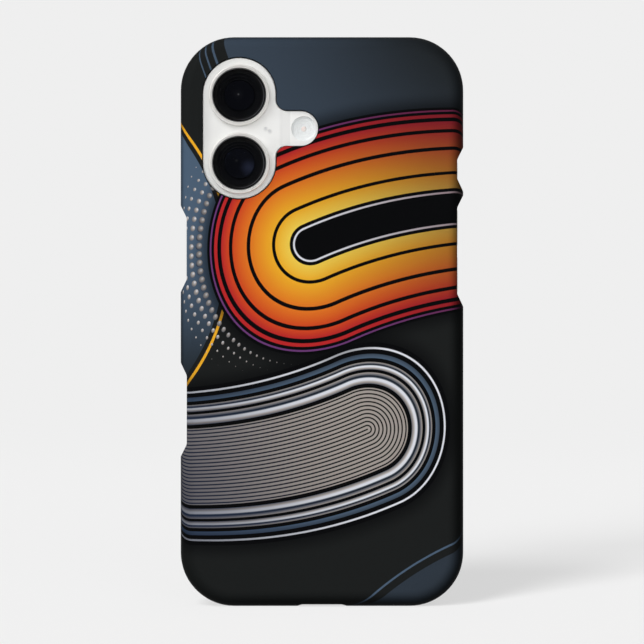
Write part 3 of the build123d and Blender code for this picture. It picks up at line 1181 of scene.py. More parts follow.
@dataclass(frozen=True)
class Panel:
    """A round airbrushed panel with thin arcs round it.

    Attributes:
        u: Its middle, to the right.
        v: Its middle, up.
        radius: Its radius.
        ink: Its ink.
        fade: Which way it dies away.
        span: Where it has died away, and where it is whole.
        arcs: The arcs round it.
        strength: How strongly it covers.
        crisp: Width of its sprayed edge.
    """

    u: float
    v: float
    radius: float
    ink: Ink
    fade: Fade
    span: Pair
    arcs: Tuple[Arc, ...]
    strength: float = 1.0
    crisp: float = 0.1

    def draw(self, graph: Graph, u: Field, v: Field, ground: Input) -> bpy.types.NodeSocket:
        """Lays the panel and its arcs over what is already printed.

        Args:
            graph: The material's graph.
            u: Sheet position to the right.
            v: Sheet position up.
            ground: The colour so far.

        Returns:
            The colour with the panel on it.
        """
        out = graph.hypot(u - self.u, v - self.v)
        shown = out.rise(self.radius + self.crisp, self.radius)
        shown = shown * (v if self.fade is Fade.DOWN else out).rise(*self.span)
        colour = graph.mix(shown * self.strength, ground, self.ink.value)
        for arc in self.arcs:
            line = out.inside(arc.radius, arc.radius + arc.width) * arc.strength
            colour = graph.mix(line, colour, arc.ink.value)
        return colour


PANELS = (
    Panel(
        u=62.0,
        v=176.0,
        radius=92.0,
        ink=Ink.SLATE,
        fade=Fade.INWARDS,
        span=(30.0, 92.0),
        arcs=tuple(
            Arc(radius, width, strength=0.8)
            for radius, width in ((95.0, 0.6), (97.2, 0.45), (99.2, 0.35))
        ),
        strength=0.9,
    ),
    Panel(
        u=-78.0,
        v=92.0,
        radius=52.0,
        ink=Ink.STEEL,
        fade=Fade.DOWN,
        span=(52.0, 100.0),
        arcs=(Arc(53.2, 0.7, Ink.GOLD),),
    ),
    Panel(
        u=70.0,
        v=-62.0,
        radius=84.0,
        ink=Ink.SLATE,
        fade=Fade.INWARDS,
        span=(60.0, 84.0),
        arcs=(Arc(86.0, 0.5),),
        strength=0.55,
    ),
)
WARM_SWEEP = Sweep(
    u=-3.0,
    v=96.0,
    turn=24.0,
    bed=28.6,
    stripes=(
        Stripe(4.2, 0.5, Ink.SILVER, Ink.SILVER),
        Stripe(5.6, 3.9, Ink.YELLOW, Ink.GOLD),
        Stripe(10.4, 6.0, Ink.GOLD, Ink.ORANGE),
        Stripe(17.4, 4.0, Ink.ORANGE, Ink.FIRE),
        Stripe(22.4, 2.2, Ink.FIRE, Ink.RED),
        Stripe(25.7, 0.9, Ink.RED, Ink.RED),
        Stripe(27.4, 0.45, Ink.PLUM, Ink.PLUM),
    ),
    far=Ink.WINE,
    fade=(-12.0, 52.0),
)
COOL_SWEEP = Sweep(
    u=12.0,
    v=47.0,
    turn=204.0,
    bed=22.6,
    stripes=(
        Stripe(0.0, 10.92, Ink.COAL, Ink.ASH, StripeKind.BARS),
        Stripe(12.0, 2.9, Ink.LEAD, Ink.SILVER, StripeKind.TUBE),
        Stripe(15.7, 1.9, Ink.LEAD, Ink.SILVER, StripeKind.TUBE),
        Stripe(18.6, 1.1, Ink.STEEL, Ink.SLATE),
        Stripe(20.9, 0.5, Ink.SILVER, Ink.SILVER),
    ),
    far=Ink.NAVY,
    fade=(0.0, 62.0),
    depth=0.75,
)


@dataclass(frozen=True)
class PrintFinish(Finish):
    """The case's print: two interlocking sweeps of retro stripes on airbrushed panels,
    with painted shade along the case's edges.

    Attributes:
        panels: The panels, from the lowest up.
        beads: The beads, which follow the last sweep.
        sweeps: The sweeps, from the lowest up.
        skin: How far under the outer face the print starts, and where it is whole.
        rim: How far out from the camera's opening it starts, and where it is whole; the thin
        dark rim inside that is partly the case's bare edge and partly painted shade.
        round_edge: How far out from the opening its edge rounds over.
        round_deep: How deep that rounding goes.
        right_low: Where the wide painted shade starts and is whole, counted in half sides of
            the case, right minus up from its middle.
        walls: How far in front of the back's face the side walls start and are reached.
        broad: How far in from the outline the wide painted shade starts, and where it is whole.
        narrow: The same for the narrow painted shade at the very rim of the back.
        broad_back: How dark the wide painted shade gets on the back.
        broad_walls: How dark it gets on the side walls.
        narrow_dark: How dark the narrow painted shade gets.
    """

    panels: Tuple[Panel, ...] = PANELS
    beads: Beads = Beads()
    sweeps: Tuple[Sweep, ...] = (COOL_SWEEP, WARM_SWEEP)
    skin: Pair = (0.12, 0.05)
    rim: Pair = (0.1, 0.2)
    round_edge: float = 0.34
    round_deep: float = 0.2
    right_low: Pair = (-0.9, 0.7)
    walls: Pair = (1.0, 4.0)
    broad: Pair = (4.6, 0.4)
    narrow: Pair = (1.1, 0.1)
    broad_back: float = 0.93
    broad_walls: float = 0.38
    narrow_dark: float = 0.6

    def _painted_edge_shade(self, graph: Graph, shared: Effects, sheet: bpy.types.Node) -> Field:
        """How dark the painted shade along the case's edges is: darkest towards the lower right,
        where the rounded edges turn from the light, and in a narrow band round the back's rim.

        Args:
            graph: The material's graph.
            shared: The shared effects.
            sheet: The print's sheet over the case.

        Returns:
            A number from 0 to 1.
        """
        u, v, inset = (graph.out(sheet, name) for name in ("U", "V", "Inset"))
        half = CASE.height / 2
        side = (u / (CASE.width / 2) - (v - half) / half).rise(*self.right_low)
        y = graph.out(graph.effect(shared.place), "Y")
        wall = y.rise(*(CASE.back_y + depth for depth in self.walls))
        dark = self.broad_back - wall * (self.broad_back - self.broad_walls)
        broad = inset.rise(*self.broad) * side * dark
        return broad.most(inset.rise(*self.narrow) * (1 - wall) * self.narrow_dark)

    def height(self, graph: Graph, shared: Effects) -> Field:
        """The sheet's grain, rounded off at the camera's opening.

        Args:
            graph: The material's graph.
            shared: The shared effects.

        Returns:
            The relief, where 1 is as high as its grain.
        """
        away = graph.out(graph.effect(shared.opening), "Distance")
        edge = away.rise(0.0, self.round_edge)
        return super().height(graph, shared) + edge * (self.round_deep / self.relief)

    def base(self, graph: Graph, shared: Effects) -> Input:
        """The whole print, from its ground up.

        Args:
            graph: The material's graph.
            shared: The shared effects.

        Returns:
            A colour, or an output that gives one.
        """
        sheet = graph.effect(shared.wrap)
        u, v, skin = (graph.out(sheet, name) for name in ("U", "V", "Skin"))
        colour: Input = Ink.CHARCOAL.value
        for panel in self.panels:
            colour = panel.draw(graph, u, v, colour)
        colour = self.beads.draw(graph, self.sweeps[-1], u, v, colour)
        for sweep in self.sweeps:
            colour = sweep.draw(graph, u, v, colour)
        # Painted shade along the case's edges, darkest towards the lower right.
        colour = graph.mix(self._painted_edge_shade(graph, shared, sheet), colour, Ink.BLACK.value)
        # The thin dark rim round the camera's opening is partly the case's bare edge and partly
        # painted shade.
        away = graph.out(graph.effect(shared.opening), "Distance")
        printed = skin.rise(*(CASE.edge - depth for depth in self.skin)) * away.rise(*self.rim)
        return graph.mix(printed, Ink.COAL.value, colour)


# ---------------------------------------------------------------- meshes
class Maker:
    """Turns points into meshes, and meshes into pieces that ride on the body."""

    @staticmethod
    def piece(
        name: str, mesh: bpy.types.Mesh, slot: str, smooth: bool = True
    ) -> bpy.types.Object:
        """Adds a mesh to the object.

        Args:
            name: The piece's name.
            mesh: Its mesh, in metres.
            slot: Not used.
            smooth: Whether its faces shade smoothly.

        Returns:
            The new piece.
        """
        made = bpy.data.objects.new(name, mesh)
        bpy.context.scene.collection.objects.link(made)
        for polygon in mesh.polygons:
            polygon.use_smooth = smooth
        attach(made, BODY)
        return made

    @staticmethod
    def finished(name: str, shape: bmesh.types.BMesh) -> bpy.types.Mesh:
        """Turns a shape that is done into a mesh.

        Args:
            name: The mesh's name.
            shape: The shape, which is freed.

        Returns:
            The mesh.
        """
        mesh = bpy.data.meshes.new(name)
        shape.to_mesh(mesh)
        shape.free()
        return mesh

    @staticmethod
    def lathe(name: str, profile: Sequence[Pair], centre: Pair, around: int = 96) -> bpy.types.Mesh:
        """Turns a closed profile round an axis that runs from back to front.

        Args:
            name: The mesh's name.
            profile: Radius and y of each corner, in order round the section.
            centre: The axis's x and z.
            around: How many steps one turn has.

        Returns:
            The turned mesh.
        """
        shape = bmesh.new()
        turns = [2 * math.pi * step / around for step in range(around)]
        rings: List[List[bmesh.types.BMVert]] = []
        for radius, y in profile:
            places = (
                (centre[0] + radius * math.cos(turn), y, centre[1] + radius * math.sin(turn))
                for turn in (turns if radius else [0.0])
            )
            rings.append([shape.verts.new([part * MM for part in place]) for place in places])
        for first, second in zip(rings, rings[1:] + rings[:1]):
            if len(first) == len(second) == 1:
                continue
            for i in range(around):
                j = (i + 1) % around
                if len(first) == 1:
                    corners = [first[0], second[i], second[j]]
                elif len(second) == 1:
                    corners = [first[i], second[0], first[j]]
                else:
                    corners = [first[i], second[i], second[j], first[j]]
                shape.faces.new(corners)
        bmesh.ops.recalc_face_normals(shape, faces=shape.faces)
        return Maker.finished(name, shape)

    @staticmethod
    def blocks(name: str, boxes: Sequence[Tuple[Point, Point]], bevel: float) -> bpy.types.Mesh:
        """Several small blocks with rounded edges, as one mesh.

        Args:
            name: The mesh's name.
            boxes: Lowest and highest corner of each.
            bevel: Radius of their edges.

        Returns:
            The mesh.
        """
        shape = bmesh.new()
        for low, high in boxes:
            made = bmesh.ops.create_cube(shape, size=1.0)
            for vert in made["verts"]:
                for axis in range(3):
                    middle, size = (low[axis] + high[axis]) / 2, high[axis] - low[axis]
                    vert.co[axis] = (middle + vert.co[axis] * size) * MM
        bmesh.ops.bevel(
            shape, geom=shape.edges[:], offset=bevel * MM, segments=2, affect="EDGES", profile=0.5
        )
        return Maker.finished(name, shape)


class Dresser:
    """Gives CAD nodes and new pieces their finishes, each material made once."""

    def __init__(self, shared: Effects) -> None:
        """Keeps the shared effects."""
        self.shared = shared
        self.made: Dict[str, bpy.types.Material] = {}

    def material(self, finish: Finish) -> bpy.types.Material:
        """The finish's material, made on its first use.

        Args:
            finish: The finish.

        Returns:
            Its material.
        """
        if finish.name not in self.made:
            self.made[finish.name] = finish.material(self.shared)
        return self.made[finish.name]

    def nodes(self, finish: Finish, *names: str) -> None:
        """Dresses CAD nodes.

        Args:
            finish: What they get.
            *names: The nodes' names.
        """
        for name in names:
            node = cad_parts[name]
            for index in range(len(node.data.materials)):
                node.data.materials[index] = self.material(finish)
            LOG.info("%s: %s", name, finish.name)

    def piece(self, finish: Finish, piece: bpy.types.Object) -> None:
        """Dresses a new piece."""
        piece.data.materials.append(self.material(finish))
        LOG.info("%s: %s", piece.name, finish.name)

    @staticmethod
    def let_light_in(*names: str) -> None:
        """Lets light through clear CAD nodes, to what lies behind them.

        Args:
            *names: The nodes' names.
        """
        for name in names:
            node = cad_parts[name]
            node.visible_shadow = node.visible_diffuse = False


# ---------------------------------------------------------------- sub-assemblies
CASE_PRINT = PrintFinish(
    "case_print", Ink.CHARCOAL.value, rough=0.5, level=0.02, grain=0.09, relief=0.003, mottle=0.0
)


@dataclass
class PrintedCase:
    """The hard case with its print.

    Attributes:
        finish: Its print.
    """

    finish: PrintFinish = CASE_PRINT

    def dress(self, dresser: Dresser) -> None:
        """Prints the shell."""
        dresser.nodes(self.finish, "case_shell")


class Lens(Enum):
    """The two rear lenses."""

    UPPER = "upper"
    LOWER = "lower"

    @property
    def axis(self) -> Pair:
        """The lens's x and z."""
        return axis_of("lens_cover_" + self.value)


STOP_BLACK = Finish("lens_stop_black", swatch(11, 12, 16), rough=0.5, level=0.05, grain=0.1)
LIP_GREY = Finish("lens_lip_grey", swatch(126, 126, 127), rough=0.4, level=0.2, grain=0.1)
RING_METAL = Finish(
    "ring_metal_satin", swatch(243, 241, 237), rough=0.3, metal=0.35, grain=0.6, relief=0.0008,
    mottle=0.02,
)
LENS_GLASS = Finish(
    "lens_glass", even(1.0), rough=0.01, rough_swing=0.005, ior=1.15, clear=1.0, grain=3.0,
    relief=0.00005, mottle=0.0,
)
RIDGE_MILKY = Finish("flash_ridge_milky", swatch(247, 250, 250), rough=0.35, relief=0.001)
LED_WARM = Finish(
    "led_phosphor", swatch(250, 236, 230), rough=0.6, grain=0.05, relief=0.006, mottle=0.12
)
LED_COOL = Finish(
    "led_phosphor_cool", swatch(252, 246, 238), rough=0.6, grain=0.05, relief=0.006, mottle=0.12
)
# The grey between the wires is painted shade.
MIC_MESH = WovenFinish(
    "sound_mesh_fine", swatch(234, 235, 236), rough=0.4, metal=0.2, pitch=0.09, relief=0.02,
    hole=swatch(164, 164, 166),
)


@dataclass(frozen=True)
class Dish:
    """The dished and coated front glass inside a lens.

    Attributes:
        lens: The lens that it is in.
        curve: Radius that it is dished to.
        glow: How strongly it shines.
        tint_and_reflection: How far right of and above its middle its painted reflection lies, and
            how wide.
        tint_and_reflection_colour: The colour of that painted reflection.
        painted_glint: How far right of and above its middle its painted glint lies, and the glint's
            radius.
        painted_glint_pale: How pale that painted glint is.
        rim: Its radius.
        y: Where its middle lies.
        thick: How thick it is at its middle.
        steps: How many steps its curve has.
    """

    lens: Lens
    curve: float
    glow: float
    tint_and_reflection: Point
    tint_and_reflection_colour: Colour
    painted_glint: Point
    painted_glint_pale: float
    rim: float = 4.1
    y: float = -3.2
    thick: float = 0.25
    steps: int = 10

    def build(self, dresser: Dresser) -> None:
        """Adds the glass, whose coating shines blue, with a painted reflection and a painted glint.

        Args:
            dresser: Gives the pieces their finishes.
        """
        back = self.y + self.thick
        profile = [(0.0, back), (self.rim, back)]
        for index in range(self.steps, -1, -1):
            radius = self.rim * index / self.steps
            drop = self.curve - math.sqrt(self.curve**2 - radius**2)
            profile.append((radius, self.y - drop))
        name = "lens_dish_" + self.lens.value
        coated = DishFinish(
            name + "_coated", swatch(10, 11, 15), rough=0.22, level=self.glow, relief=0.0001,
            centre=self.lens.axis, tint_and_reflection=self.tint_and_reflection, tint_and_reflection_colour=self.tint_and_reflection_colour,
            painted_glint=self.painted_glint, painted_glint_pale=self.painted_glint_pale,
        )
        mesh = Maker.lathe(name, profile, self.lens.axis)
        dresser.piece(coated, Maker.piece(name, mesh, "element_glass"))


@dataclass
class RearLenses:
    """The two lenses on the island: their rings, glasses, barrels and inner parts.

    Attributes:
        stop: Section of the funnel in front of a lens's inner glass, radius and y.
        ink_ring: Section of the dark layer printed under the edge of a lens's cover.
        lip: Section of the grey lip between that layer and the ring.
        dishes: The dished glass in each.
    """

    stop: Profile = (
        (1.15, -3.02), (1.25, -3.08), (3.28, -2.52), (3.34, -2.44), (3.3, -2.4), (1.2, -2.96)
    )
    ink_ring: Profile = (
        (5.9, -4.64), (5.95, -4.66), (7.08, -4.66), (7.12, -4.64), (7.12, -4.62), (5.9, -4.62)
    )
    lip: Profile = ((6.94, -4.67), (7.13, -5.05), (7.14, -5.05), (7.14, -4.67))
    # Each dish carries a painted reflection and a painted glint.
    dishes: Tuple[Dish, ...] = (
        Dish(
            Lens.UPPER, curve=26.0, glow=0.01, tint_and_reflection=(-0.3, 0.35, 1.8),
            tint_and_reflection_colour=swatch(20, 21, 24), painted_glint=(-0.3, 0.35, 0.32), painted_glint_pale=0.07,
        ),
        Dish(
            Lens.LOWER, curve=13.0, glow=0.02, tint_and_reflection=(2.3, -1.0, 2.7),
            tint_and_reflection_colour=swatch(30, 34, 48), painted_glint=(-0.8, 0.8, 0.45), painted_glint_pale=0.018,
        ),
    )

    def build(self, dresser: Dresser) -> None:
        """Adds the inner parts of both lenses.

        Args:
            dresser: Gives the pieces their finishes.
        """
        for dish in self.dishes:
            lens, axis = dish.lens.value, dish.lens.axis
            ink = EdgeFinish(
                "lens_ink_" + lens, swatch(14, 14, 15), rough=0.5, level=0.05, grain=0.1,
                centre=axis,
            )
            for kind, profile, finish in (
                ("stop", self.stop, STOP_BLACK),
                ("ink", self.ink_ring, ink),
                ("lip", self.lip, LIP_GREY),
            ):
                name = f"lens_{kind}_{lens}"
                mesh = Maker.lathe(name, profile, axis)
                dresser.piece(finish, Maker.piece(name, mesh, "barrel_plastic"))
            dish.build(dresser)

    def dress(self, dresser: Dresser) -> None:
        """Finishes the rings, glasses and barrels.

        Args:
            dresser: Gives the pieces their finishes.
        """
        for lens in Lens:
            name = lens.value
            barrel = TurnedFinish(
                "barrel_plastic_" + name, swatch(7, 8, 12), rough=0.6, level=0.05, relief=0.006,
                centre=lens.axis, pitch=0.18,
            )
            inner = TurnedFinish(
                "element_glass_" + name, swatch(6, 7, 12), rough=0.2, level=0.1, relief=0.0003,
                centre=lens.axis, pitch=0.9,
            )
            dresser.nodes(RING_METAL, "lens_ring_" + name)
            dresser.nodes(LENS_GLASS, "lens_cover_" + name)
            dresser.nodes(barrel, "lens_barrel_" + name)
            dresser.nodes(inner, "lens_element_" + name)
            dresser.let_light_in("lens_cover_" + name)


@dataclass
class Flash:
    """The flash at the end of the island's arm.

    Attributes:
        dome: Section of the milky dome over its two lights, radius and y.
        ridges: How many moulded ridges lie round the dome.
        ridge_inner, ridge_outer: Where they start and end.
        ridge_low, ridge_high: Where a ridge starts and ends, in shares of its width.
        ridge_step: How high each stands.
        bowl_y: Where the outer edge of the bowl that they line lies.
        bowl_deep: How deep that bowl is.
        bowl_thick: How thick it is.
        bowl_gap: How far inside the bowl's front its back ends.
    """

    dome: Profile = (
        (0.0, -1.14), (0.0, -1.46), (0.25, -1.45), (0.45, -1.41), (0.6, -1.34), (0.68, -1.22),
        (0.68, -1.14),
    )
    ridges: int = 5
    ridge_inner: float = 0.7
    ridge_outer: float = 3.2
    ridge_low: float = 0.15
    ridge_high: float = 0.95
    ridge_step: float = 0.05
    bowl_y: float = -1.84
    bowl_deep: float = 0.6
    bowl_thick: float = 0.12
    bowl_gap: float = 0.02

    def _bowl(self, radius: float, behind: float = 0.0) -> float:
        """The bowl's y at a radius, on its face or so far behind it at its middle."""
        share = radius / self.ridge_outer
        return self.bowl_y + self.bowl_deep * (1 - share**2) + behind * (1 - share**4)

    def _section(self) -> List[Pair]:
        """The section of the ridged bowl, radius and y.

        Returns:
            Its corners, in order round it.
        """
        inner, outer, steps = self.ridge_inner, self.ridge_outer, self.ridges
        pitch = (outer - inner) / steps
        section = [(inner, self._bowl(inner))]
        for index in range(steps):
            low = inner + (index + self.ridge_low) * pitch
            high = inner + (index + self.ridge_high) * pitch
            step = self.ridge_step * (index < steps - 1)
            section += [(low, self._bowl(low)), (high, self._bowl(high) + step)]
        section.append((outer, self.bowl_y))
        for index in range(steps, -1, -1):
            radius = inner + (outer - self.bowl_gap - inner) * index / steps
            section.append((radius, self._bowl(radius, self.bowl_thick)))
        return section

    def build(self, dresser: Dresser) -> None:
        """Adds the moulded ridges under the window, and the dome over the lights.

        Args:
            dresser: Gives the pieces their finishes.
        """
        axis = axis_of("flash_lens")
        mesh = Maker.lathe("flash_ridges", self._section(), axis)
        ridges = Maker.piece("flash_ridges", mesh, "flash_window", smooth=False)
        ridges.visible_shadow = False
        dresser.piece(RIDGE_MILKY, ridges)
        milky = BloomFinish(
            "flash_dome_milky", swatch(252, 236, 229), rough=0.3, relief=0.001, mottle=0.03,
            centre=axis, tint_and_reflection=(0.45, -0.1, 0.75), tint_and_reflection_colour=swatch(254, 250, 245),
        )
        dome = Maker.lathe("flash_dome", self.dome, axis)
        dresser.piece(milky, Maker.piece("flash_dome", dome, "flash_window"))

    def dress(self, dresser: Dresser) -> None:
        """Finishes the window, the cup and the two lights.

        Args:
            dresser: Gives the pieces their finishes.
        """
        axis = axis_of("flash_lens")
        window = TurnedFinish(
            "flash_window_clear", swatch(250, 250, 250), rough=0.10, rough_swing=0.04, ior=1.15,
            relief=0.003, mottle=0.0, clear=1.0, centre=axis, pitch=0.4,
        )
        cup = TurnedFinish(
            "flash_white", swatch(240, 241, 240), rough=0.3, relief=0.004, centre=axis, pitch=0.3
        )
        dresser.nodes(window, "flash_lens")
        dresser.nodes(cup, "flash_cup")
        dresser.nodes(LED_WARM, "flash_led_warm")
        dresser.nodes(LED_COOL, "flash_led_cool")
        dresser.let_light_in("flash_lens", "flash_cup")


@dataclass
class BackGlass:
    """The back glass, which is raised into the island, with its two sound holes.

    Attributes:
        meshes: The nodes of the meshes in those holes.
    """

    meshes: Tuple[str, ...] = ("rear_mic_mesh_first", "rear_mic_mesh_second")

    def dress(self, dresser: Dresser) -> None:
        """Finishes the glass and the meshes.

        Args:
            dresser: Gives the pieces their finishes.
        """
        glass = IslandFinish(
            "back_glass_white", swatch(251, 251, 249), rough=0.42, level=0.4, grain=0.12,
            relief=0.002, mottle=0.01, holes=tuple(axis_of(mesh) for mesh in self.meshes),
        )
        dresser.nodes(glass, "back_glass")
        dresser.nodes(MIC_MESH, *self.meshes)


BAND_METAL = Finish(
    "band_metal_white", swatch(226, 226, 224), rough=0.36, metal=0.75, grain=0.07, relief=0.002,
    mottle=0.015,
)
STRIP_PLASTIC = Finish(
    "strip_plastic_white", swatch(214, 214, 211), rough=0.5, grain=0.1, relief=0.002
)
SCREW_STEEL = Finish("screw_steel", swatch(176, 176, 178), rough=0.28, metal=1.0, grain=0.12)
SPEAKER_MESH = WovenFinish(
    "sound_mesh_coarse", swatch(60, 60, 62), rough=0.4, metal=0.7, relief=0.03
)


@dataclass
class Band:
    """The phone's band with its buttons, moulded lines and screws.

    Attributes:
        buttons: The nodes of its buttons.
    """

    buttons: Tuple[str, ...] = (
        "side_button", "camera_control", "action_button", "volume_up_button", "volume_down_button"
    )

    def dress(self, dresser: Dresser) -> None:
        """Finishes the band and what is let into it.

        Args:
            dresser: Gives the pieces their finishes.
        """
        dresser.nodes(BAND_METAL, "phone_frame", *self.buttons)
        for side in ("left", "right"):
            strips = (f"antenna_strip_{side}_{end}" for end in ("upper", "lower"))
            dresser.nodes(STRIP_PLASTIC, *strips)
            dresser.nodes(SCREW_STEEL, "bottom_screw_" + side)
            dresser.nodes(SPEAKER_MESH, "sound_mesh_" + side)


CONTACT_GOLD = Finish(
    "contact_gold", swatch(222, 178, 98), rough=0.22, metal=1.0, grain=0.08, relief=0.002
)
SOCKET_STEEL = Finish(
    "socket_steel", swatch(168, 168, 170), rough=0.3, metal=1.0, grain=0.2, relief=0.003
)
TONGUE_PLASTIC = Finish("tongue_plastic", swatch(24, 24, 25), grain=0.08, relief=0.003)


@dataclass
class Socket:
    """The charging socket with its contacts.

    Attributes:
        middle_y: Middle of the tongue, from back to front.
        tongue_t: How thick the tongue is.
        start_z: Where the contacts start.
        contacts: How many contacts a row has.
        pitch: Distance between them.
        half: Half the width of one.
        proud: How far it stands out of the tongue.
        bevel: Radius of its edges.
        long, short: The two lengths.
        long_ones: Which of them are long.
    """

    middle_y: float = 1.35
    tongue_t: float = 0.7
    start_z: float = 2.98
    contacts: int = 12
    pitch: float = 0.5
    half: float = 0.13
    proud: float = 0.05
    bevel: float = 0.015
    long: float = 2.6
    short: float = 2.1
    long_ones: Tuple[int, ...] = (0, 3, 8, 11)

    def build(self, dresser: Dresser) -> None:
        """Adds the two rows of contacts on the tongue.

        Args:
            dresser: Gives the pieces their finishes.
        """
        pins: List[Tuple[Point, Point]] = []
        for side in (-1, 1):
            face = self.middle_y + side * self.tongue_t / 2
            near, far = sorted((face, face + side * self.proud))
            for index in range(self.contacts):
                x = (index - (self.contacts - 1) / 2) * self.pitch
                top = self.start_z + (self.long if index in self.long_ones else self.short)
                pins.append(((x - self.half, near, self.start_z), (x + self.half, far, top)))
        mesh = Maker.blocks("socket_contacts", pins, self.bevel)
        piece = Maker.piece("socket_contacts", mesh, "socket_steel", smooth=False)
        dresser.piece(CONTACT_GOLD, piece)

    def dress(self, dresser: Dresser) -> None:
        """Finishes the shell and the tongue."""
        dresser.nodes(SOCKET_STEEL, "usb_shell")
        dresser.nodes(TONGUE_PLASTIC, "usb_tongue")


FRONT_GLASS = Finish(
    "front_glass_clear", even(1.0), rough=0.015, rough_swing=0.008, ior=1.15, clear=1.0,
    grain=6.0, relief=0.00002, mottle=0.0,
)
BLACK_INK = Finish("black_ink", swatch(9, 9, 10), rough=0.4, level=0.02, grain=0.6, relief=0.0001)
SCREEN_OFF = Finish(
    "screen_off", swatch(14, 14, 17), rough=0.3, level=0.05, grain=0.6, relief=0.0001
)
EARPIECE_MESH = WovenFinish(
    "earpiece_mesh_dark", swatch(52, 52, 54), rough=0.4, metal=0.6, pitch=0.12, relief=0.03
)
SEAL_RUBBER = Finish("seal_rubber", swatch(22, 22, 23), rough=0.7, grain=0.12)


@dataclass
class Front:
    """The front glass with the screen and what lies round it."""

    def dress(self, dresser: Dresser) -> None:
        """Finishes everything seen through the front glass, and both seals.

        Args:
            dresser: Gives the pieces their finishes.
        """
        lens = TurnedFinish(
            "front_lens_glass", swatch(12, 14, 28), rough=0.2, level=0.2, relief=0.003,
            centre=axis_of("front_lens"), pitch=0.4,
        )
        dresser.nodes(FRONT_GLASS, "front_glass")
        dresser.nodes(BLACK_INK, "ink_border", "sensor_pill")
        dresser.nodes(SCREEN_OFF, "screen")
        dresser.nodes(lens, "front_lens")
        dresser.nodes(EARPIECE_MESH, "earpiece_mesh")
        dresser.nodes(SEAL_RUBBER, "front_seal", "back_seal")


PLATE_METAL = Finish("plate_metal", swatch(150, 152, 156), rough=0.4, metal=1.0, grain=0.3)
BATTERY_WRAP = Finish(
    "battery_wrap", swatch(30, 30, 32), rough=0.35, grain=0.6, relief=0.01, coat=0.2
)


@dataclass
class Inside:
    """What lies inside the band."""

    def dress(self, dresser: Dresser) -> None:
        """Finishes the plate and the battery."""
        dresser.nodes(PLATE_METAL, "mid_plate")
        dresser.nodes(BATTERY_WRAP, "battery")


# ---------------------------------------------------------------- studio, in metres
UPRIGHT = (math.radians(90), 0.0, 0.0)


class Lights(Enum):
    """What a lamp lights."""

    OBJECT = "all but the floor"
    FLOOR = "the floor alone"


@dataclass(frozen=True)
class Lamp:
    """A far lamp.

    Attributes:
        name: The lamp's name.
        lights: What it lights.
        turn: How far left of the camera it stands, in degrees.
        height: How high it stands, in degrees.
        wide: How wide it is, in degrees.
        power: Its strength.
    """

    name: str
    lights: Lights
    turn: float
    height: float
    wide: float
    power: float

    def _group(self, kind: str, held: bpy.types.Object, left_out: bool) -> bpy.types.Collection:
        """A collection of one object, for the lamp to reach alone or to leave out.

        Args:
            kind: What the collection is for.
            held: The object.
            left_out: Whether the lamp leaves it out.

        Returns:
            The collection.
        """
        made = bpy.data.collections.new(f"{self.name}_{kind}")
        made.objects.link(held)
        if left_out:
            made.collection_objects[0].light_linking.link_state = "EXCLUDE"
        return made

    def build(self, floor: bpy.types.Object) -> None:
        """Hangs the lamp. One for the object also shines through the thin case.

        Args:
            floor: The floor, which it leaves out or lights alone.
        """
        data = bpy.data.lights.new(self.name, "SUN")
        data.energy, data.angle = self.power, math.radians(self.wide)
        made = bpy.data.objects.new(self.name, data)
        turn, rise = math.radians(self.turn), math.radians(self.height)
        flat = math.cos(rise)
        towards = Vector((-math.sin(turn) * flat, -math.cos(turn) * flat, math.sin(rise)))
        made.rotation_euler = towards.to_track_quat("Z", "Y").to_euler()
        for_object = self.lights is Lights.OBJECT
        linking = made.light_linking
        linking.receiver_collection = self._group("lights", floor, for_object)
        if for_object:
            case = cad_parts["case_shell"]
            linking.blocker_collection = self._group("passes", case, True)
        bpy.context.scene.collection.objects.link(made)


